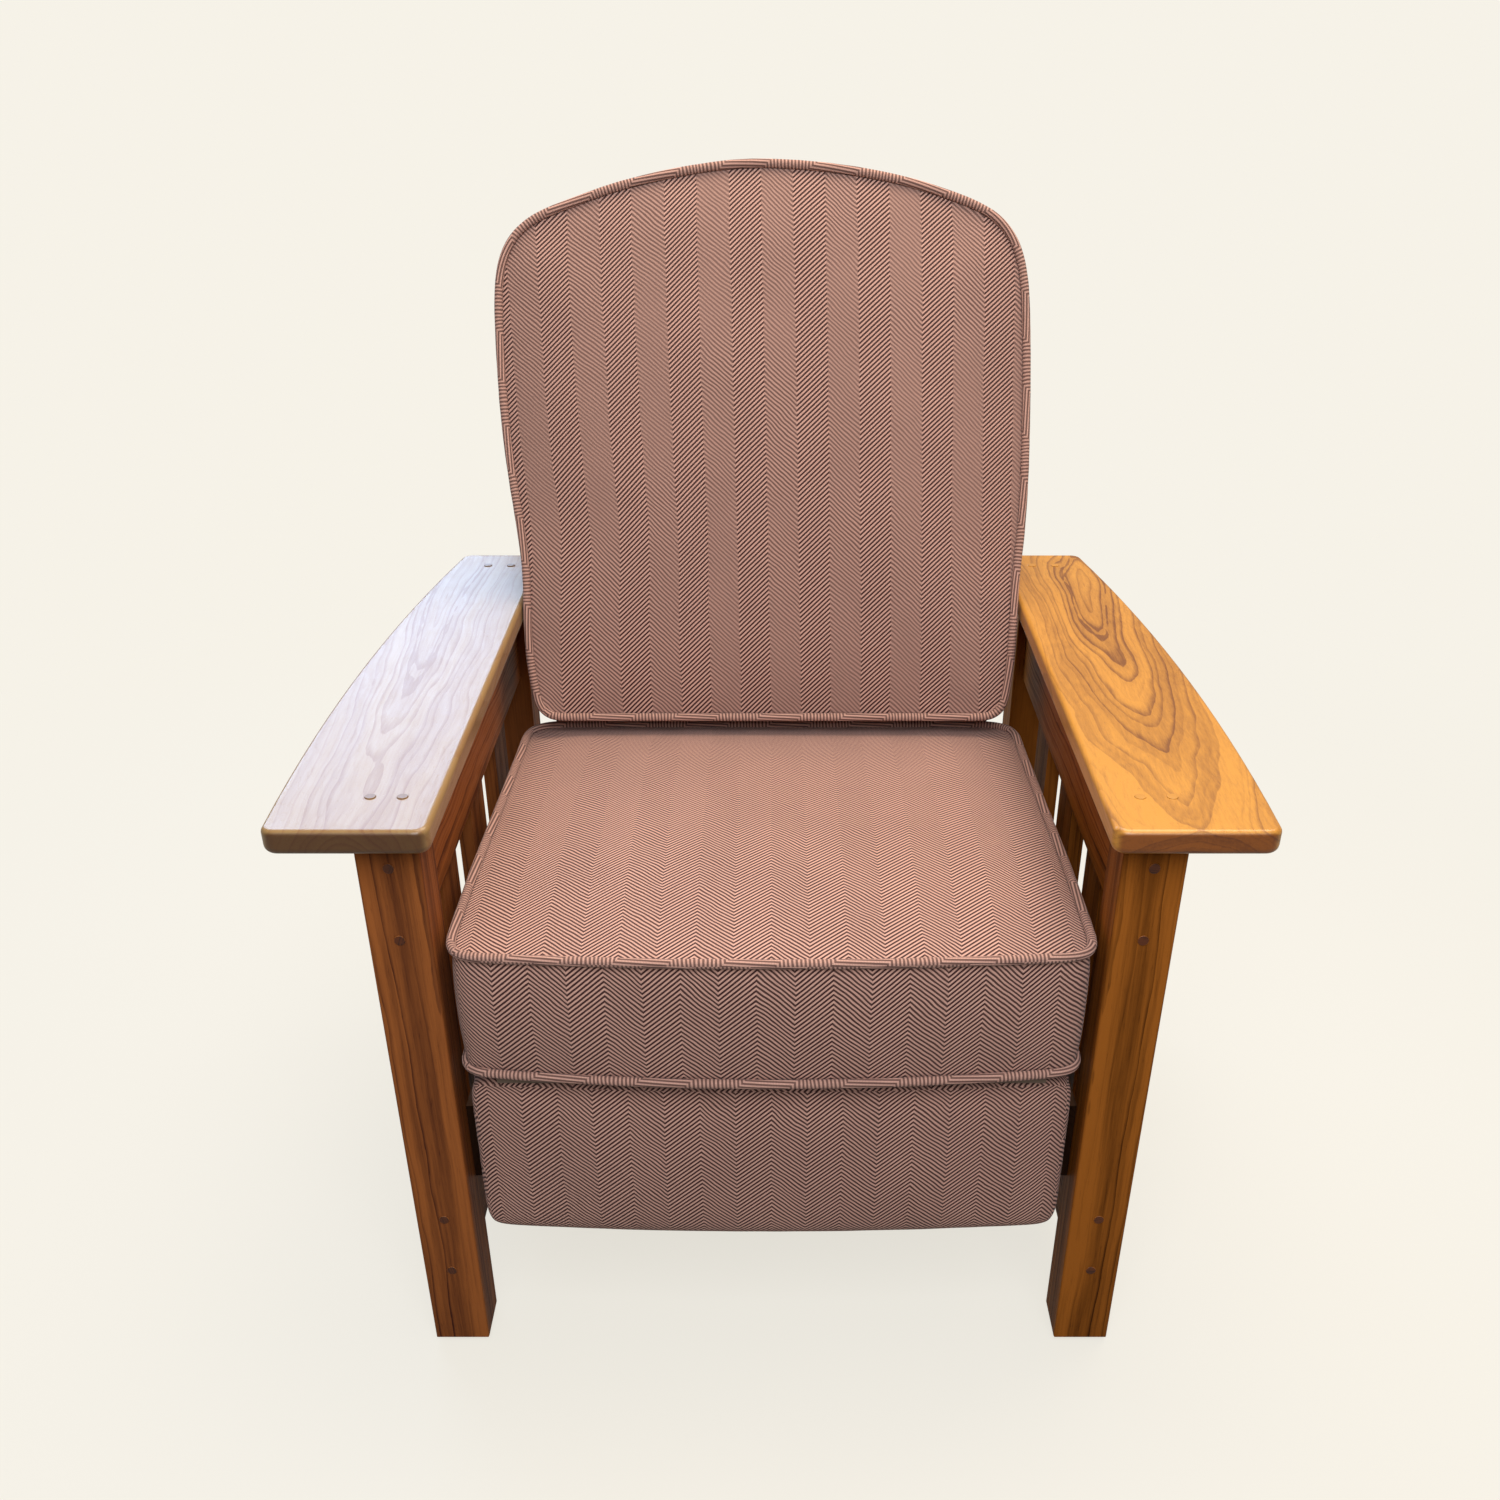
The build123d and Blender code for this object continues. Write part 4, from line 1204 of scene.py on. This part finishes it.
def make_hem(name, low, high, width, material):
    """The cover's edge, folded round a board's rim and laid flat on its rear face."""
    depth = high.y - low.y
    middle = (low + high) / 2
    # The strip's section: how far each point lies inside the rim, and how far behind the board's front
    section = (
        (-0.0012, 0.0), (-0.0012, depth + 0.0006), (-0.0006, depth + 0.0013), (0.006, depth + 0.0015),
        (width - 0.002, depth + 0.0014), (width, depth + 0.0006), (width, depth - 0.0001),
        (-0.0002, depth - 0.0001), (-0.0002, 0.0),
    )
    travel = [0.0]
    for (a, b), (c, d) in zip(section, section[1:]):
        travel.append(travel[-1] + math.hypot(c - a, d - b))
    travel.append(travel[-1] + depth)
    steps = (40, 14, 40, 14)

    def corner(number, inset):
        wide = (1, 1, -1, -1)[number % 4] * ((high.x - low.x) / 2 - inset)
        tall = (-1, 1, 1, -1)[number % 4] * ((high.z - low.z) / 2 - inset)
        return Vector((middle.x + wide, 0, middle.z + tall))

    vertices = []
    lengths = [0.0]
    for side, count in enumerate(steps):
        span = (corner(side + 1, 0.0) - corner(side, 0.0)).length / count
        for k in range(count):
            share = k / count
            edge = corner(side, 0.0).lerp(corner(side + 1, 0.0), share)
            wander = 0.0022 * noise.noise(edge * 31.0)
            for inset, out in section:
                shift = wander if inset > width / 2 else 0.0
                point = corner(side, inset + shift).lerp(corner(side + 1, inset + shift), share)
                point.y = low.y + out
                vertices.append(point)
            lengths.append(lengths[-1] + span)
    piece = add_tube(name, vertices, lengths, travel, material)
    first = piece.data.polygons[0]
    if first.normal.x * (first.center.x - middle.x) < 0:
        piece.data.flip_normals()
    return piece


class ARMCHAIR_OT_footrest(bpy.types.Operator):
    """Make the footrest's padded cover"""

    bl_idname = "armchair.footrest"
    bl_label = "Make the footrest pad"

    def execute(self, context):
        cover = context.scene.armchair_upholstery
        corner_depth = BOARD_FRONT_Y - (FRONT_Y + 0.012)
        bow = 0.014

        def face(p):
            return corner_depth + bow * (1 - (p.x / FOOTREST_HIGH.x) ** 2)

        piece, seams = build_cushion(
            "footrest_cover", footrest_panel(), lambda a, b, c: Vector((a, BOARD_FRONT_Y - c, b)),
            face, lambda p: 0.0005, crown=0.004, rear_crown=0.0, side_bulge=0.0015, side_steps=5,
        )
        edges = {"rear": seams["rear"]}
        fill_out(piece, edges, pressure=1.2, cap=0.008)
        relax(piece, edges, rounds=4)
        pucker(piece, edges, cover.seam_pull * 0.6)
        finish_cushion(piece, edges, fabric_material("herringbone_footrest"))
        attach(piece, "footrest")
        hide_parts("footrest_pad")
        self.fasten_cover(cover)
        return {"FINISHED"}

    def fasten_cover(self, cover):
        """Folds the cover round the footrest's board and staples it to the rear face"""
        low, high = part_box("footrest_board")
        middle = (low + high) / 2
        width = cover.hem_width
        hem = make_hem("footrest_hem", low, high, width, fabric_material("herringbone_footrest"))
        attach(hem, "footrest")
        staples = grow(
            "footrest_staples", staple_tree(), Width=high.x - low.x - width, Height=high.z - low.z - width,
            Spacing=cover.staple_spacing, Crown=STAPLE_CROWN, Wire=STAPLE_WIRE, Finish=zinc_material(),
        )
        on_hem = Matrix.Translation((middle.x, high.y + 0.0014, middle.z))
        staples.data.transform(on_hem @ Matrix.Rotation(math.radians(-90), 4, "X"))
        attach(staples, "footrest")


class ARMCHAIR_OT_stage(bpy.types.Operator):
    """Make the floor, lamps, world and camera"""

    bl_idname = "armchair.stage"
    bl_label = "Set the stage"

    def execute(self, context):
        stage = context.scene.armchair_stage
        self.make_floor(stage)
        self.make_world(stage)
        for name, place, target, size, color in LAMPS:
            self.make_lamp(name + "_lamp", place, target, size, getattr(stage, name + "_power"), color)
        camera = bpy.data.cameras.new("camera")
        camera.lens = LENS
        camera.sensor_width = SENSOR_WIDTH
        camera.shift_x = SHIFT_X
        camera.shift_y = SHIFT_Y
        viewer = bpy.data.objects.new("camera", camera)
        viewer.location = (0, FRONT_Y - stage.camera_distance, stage.camera_height)
        viewer.rotation_euler = (math.radians(90) - stage.camera_pitch, 0, 0)
        context.scene.collection.objects.link(viewer)
        context.scene.camera = viewer
        context.scene.view_settings.view_transform = "Standard"
        return {"FINISHED"}

    def make_floor(self, stage):
        """A matte floor that shows the camera the backdrop's colour, and reflections a weaker one"""
        half = FLOOR_HALF
        mesh = bpy.data.meshes.new("floor")
        corners = [(-half, -half, 0), (half, -half, 0), (half, half, 0), (-half, half, 0)]
        mesh.from_pydata(corners, [], [(0, 1, 2, 3)])
        floor = bpy.data.objects.new("floor", mesh)
        bpy.context.scene.collection.objects.link(floor)
        material = bpy.data.materials.new("floor")
        material.use_nodes = True
        material.node_tree.nodes.clear()
        build = NodeBuilder(material.node_tree)
        far = build.add("ShaderNodeVectorMath", {0: build.place()}, operation="LENGTH").outputs[1]
        share = build.remap(far, 0.5, 2.2, 0.80, 1.0)
        path = build.add("ShaderNodeLightPath").outputs
        seen = build.math("MAXIMUM", path["Is Camera Ray"], build.times(path["Is Glossy Ray"], 0.4))
        share = build.times(share, seen)
        dim = rgba(stage.backdrop, stage.floor_bounce)
        lit = rgba(stage.backdrop, stage.floor_shade)
        shown = build.mix(path["Is Camera Ray"], dim, lit)
        matte = build.add("ShaderNodeBsdfDiffuse", {"Color": shown}).outputs[0]
        glow = build.add("ShaderNodeEmission", {"Color": rgba(stage.backdrop), "Strength": 1.0}).outputs[0]
        mixed = build.add("ShaderNodeMixShader", {0: share, 1: matte, 2: glow}).outputs[0]
        build.add("ShaderNodeOutputMaterial", {"Surface": mixed})
        mesh.materials.append(material)

    def make_world(self, stage):
        """Even light from all sides, which the camera sees as the backdrop"""
        world = bpy.data.worlds.new("room")
        bpy.context.scene.world = world
        world.use_nodes = True
        world.node_tree.nodes.clear()
        build = NodeBuilder(world.node_tree)
        path = build.add("ShaderNodeLightPath").outputs
        seen = build.math("MAXIMUM", path["Is Camera Ray"], path["Is Transmission Ray"])
        sky = build.add("ShaderNodeBackground", {"Color": SKY_COLOR, "Strength": stage.sky_strength}).outputs[0]
        back = build.add("ShaderNodeBackground", {"Color": rgba(stage.backdrop), "Strength": 1.0}).outputs[0]
        mixed = build.add("ShaderNodeMixShader", {0: seen, 1: sky, 2: back}).outputs[0]
        build.add("ShaderNodeOutputWorld", {"Surface": mixed})

    def make_lamp(self, name, place, target, size, power, color):
        lamp = bpy.data.lights.new(name, "AREA")
        lamp.energy = power
        lamp.size = size
        lamp.color = color
        holder = bpy.data.objects.new(name, lamp)
        holder.location = place
        aim = Vector(target) - Vector(place)
        holder.rotation_euler = aim.to_track_quat("-Z", "Y").to_euler()
        holder.visible_camera = False
        bpy.context.scene.collection.objects.link(holder)


class ARMCHAIR_PT_panel(bpy.types.Panel):
    """Lists the armchair's steps in the sidebar"""

    bl_label = "Armchair"
    bl_idname = "ARMCHAIR_PT_panel"
    bl_space_type = "VIEW_3D"
    bl_region_type = "UI"
    bl_category = "Armchair"

    def draw(self, context):
        for operator in STEPS:
            self.layout.operator(operator.bl_idname)


STEPS = (
    ARMCHAIR_OT_wood,
    ARMCHAIR_OT_steel,
    ARMCHAIR_OT_seat,
    ARMCHAIR_OT_back,
    ARMCHAIR_OT_footrest,
    ARMCHAIR_OT_stage,
)
CLASSES = (UpholsterySettings, WoodSettings, StageSettings) + STEPS + (ARMCHAIR_PT_panel,)


def register():
    for each in CLASSES:
        bpy.utils.register_class(each)
    bpy.types.Scene.armchair_upholstery = PointerProperty(type=UpholsterySettings)
    bpy.types.Scene.armchair_wood = PointerProperty(type=WoodSettings)
    bpy.types.Scene.armchair_stage = PointerProperty(type=StageSettings)


def unregister():
    del bpy.types.Scene.armchair_stage
    del bpy.types.Scene.armchair_wood
    del bpy.types.Scene.armchair_upholstery
    for each in reversed(CLASSES):
        bpy.utils.unregister_class(each)


def main():
    register()
    bpy.ops.armchair.wood()
    bpy.ops.armchair.steel()
    bpy.ops.armchair.seat()
    bpy.ops.armchair.back()
    bpy.ops.armchair.footrest()
    bpy.ops.armchair.stage()


if __name__ == "__main__":
    main()
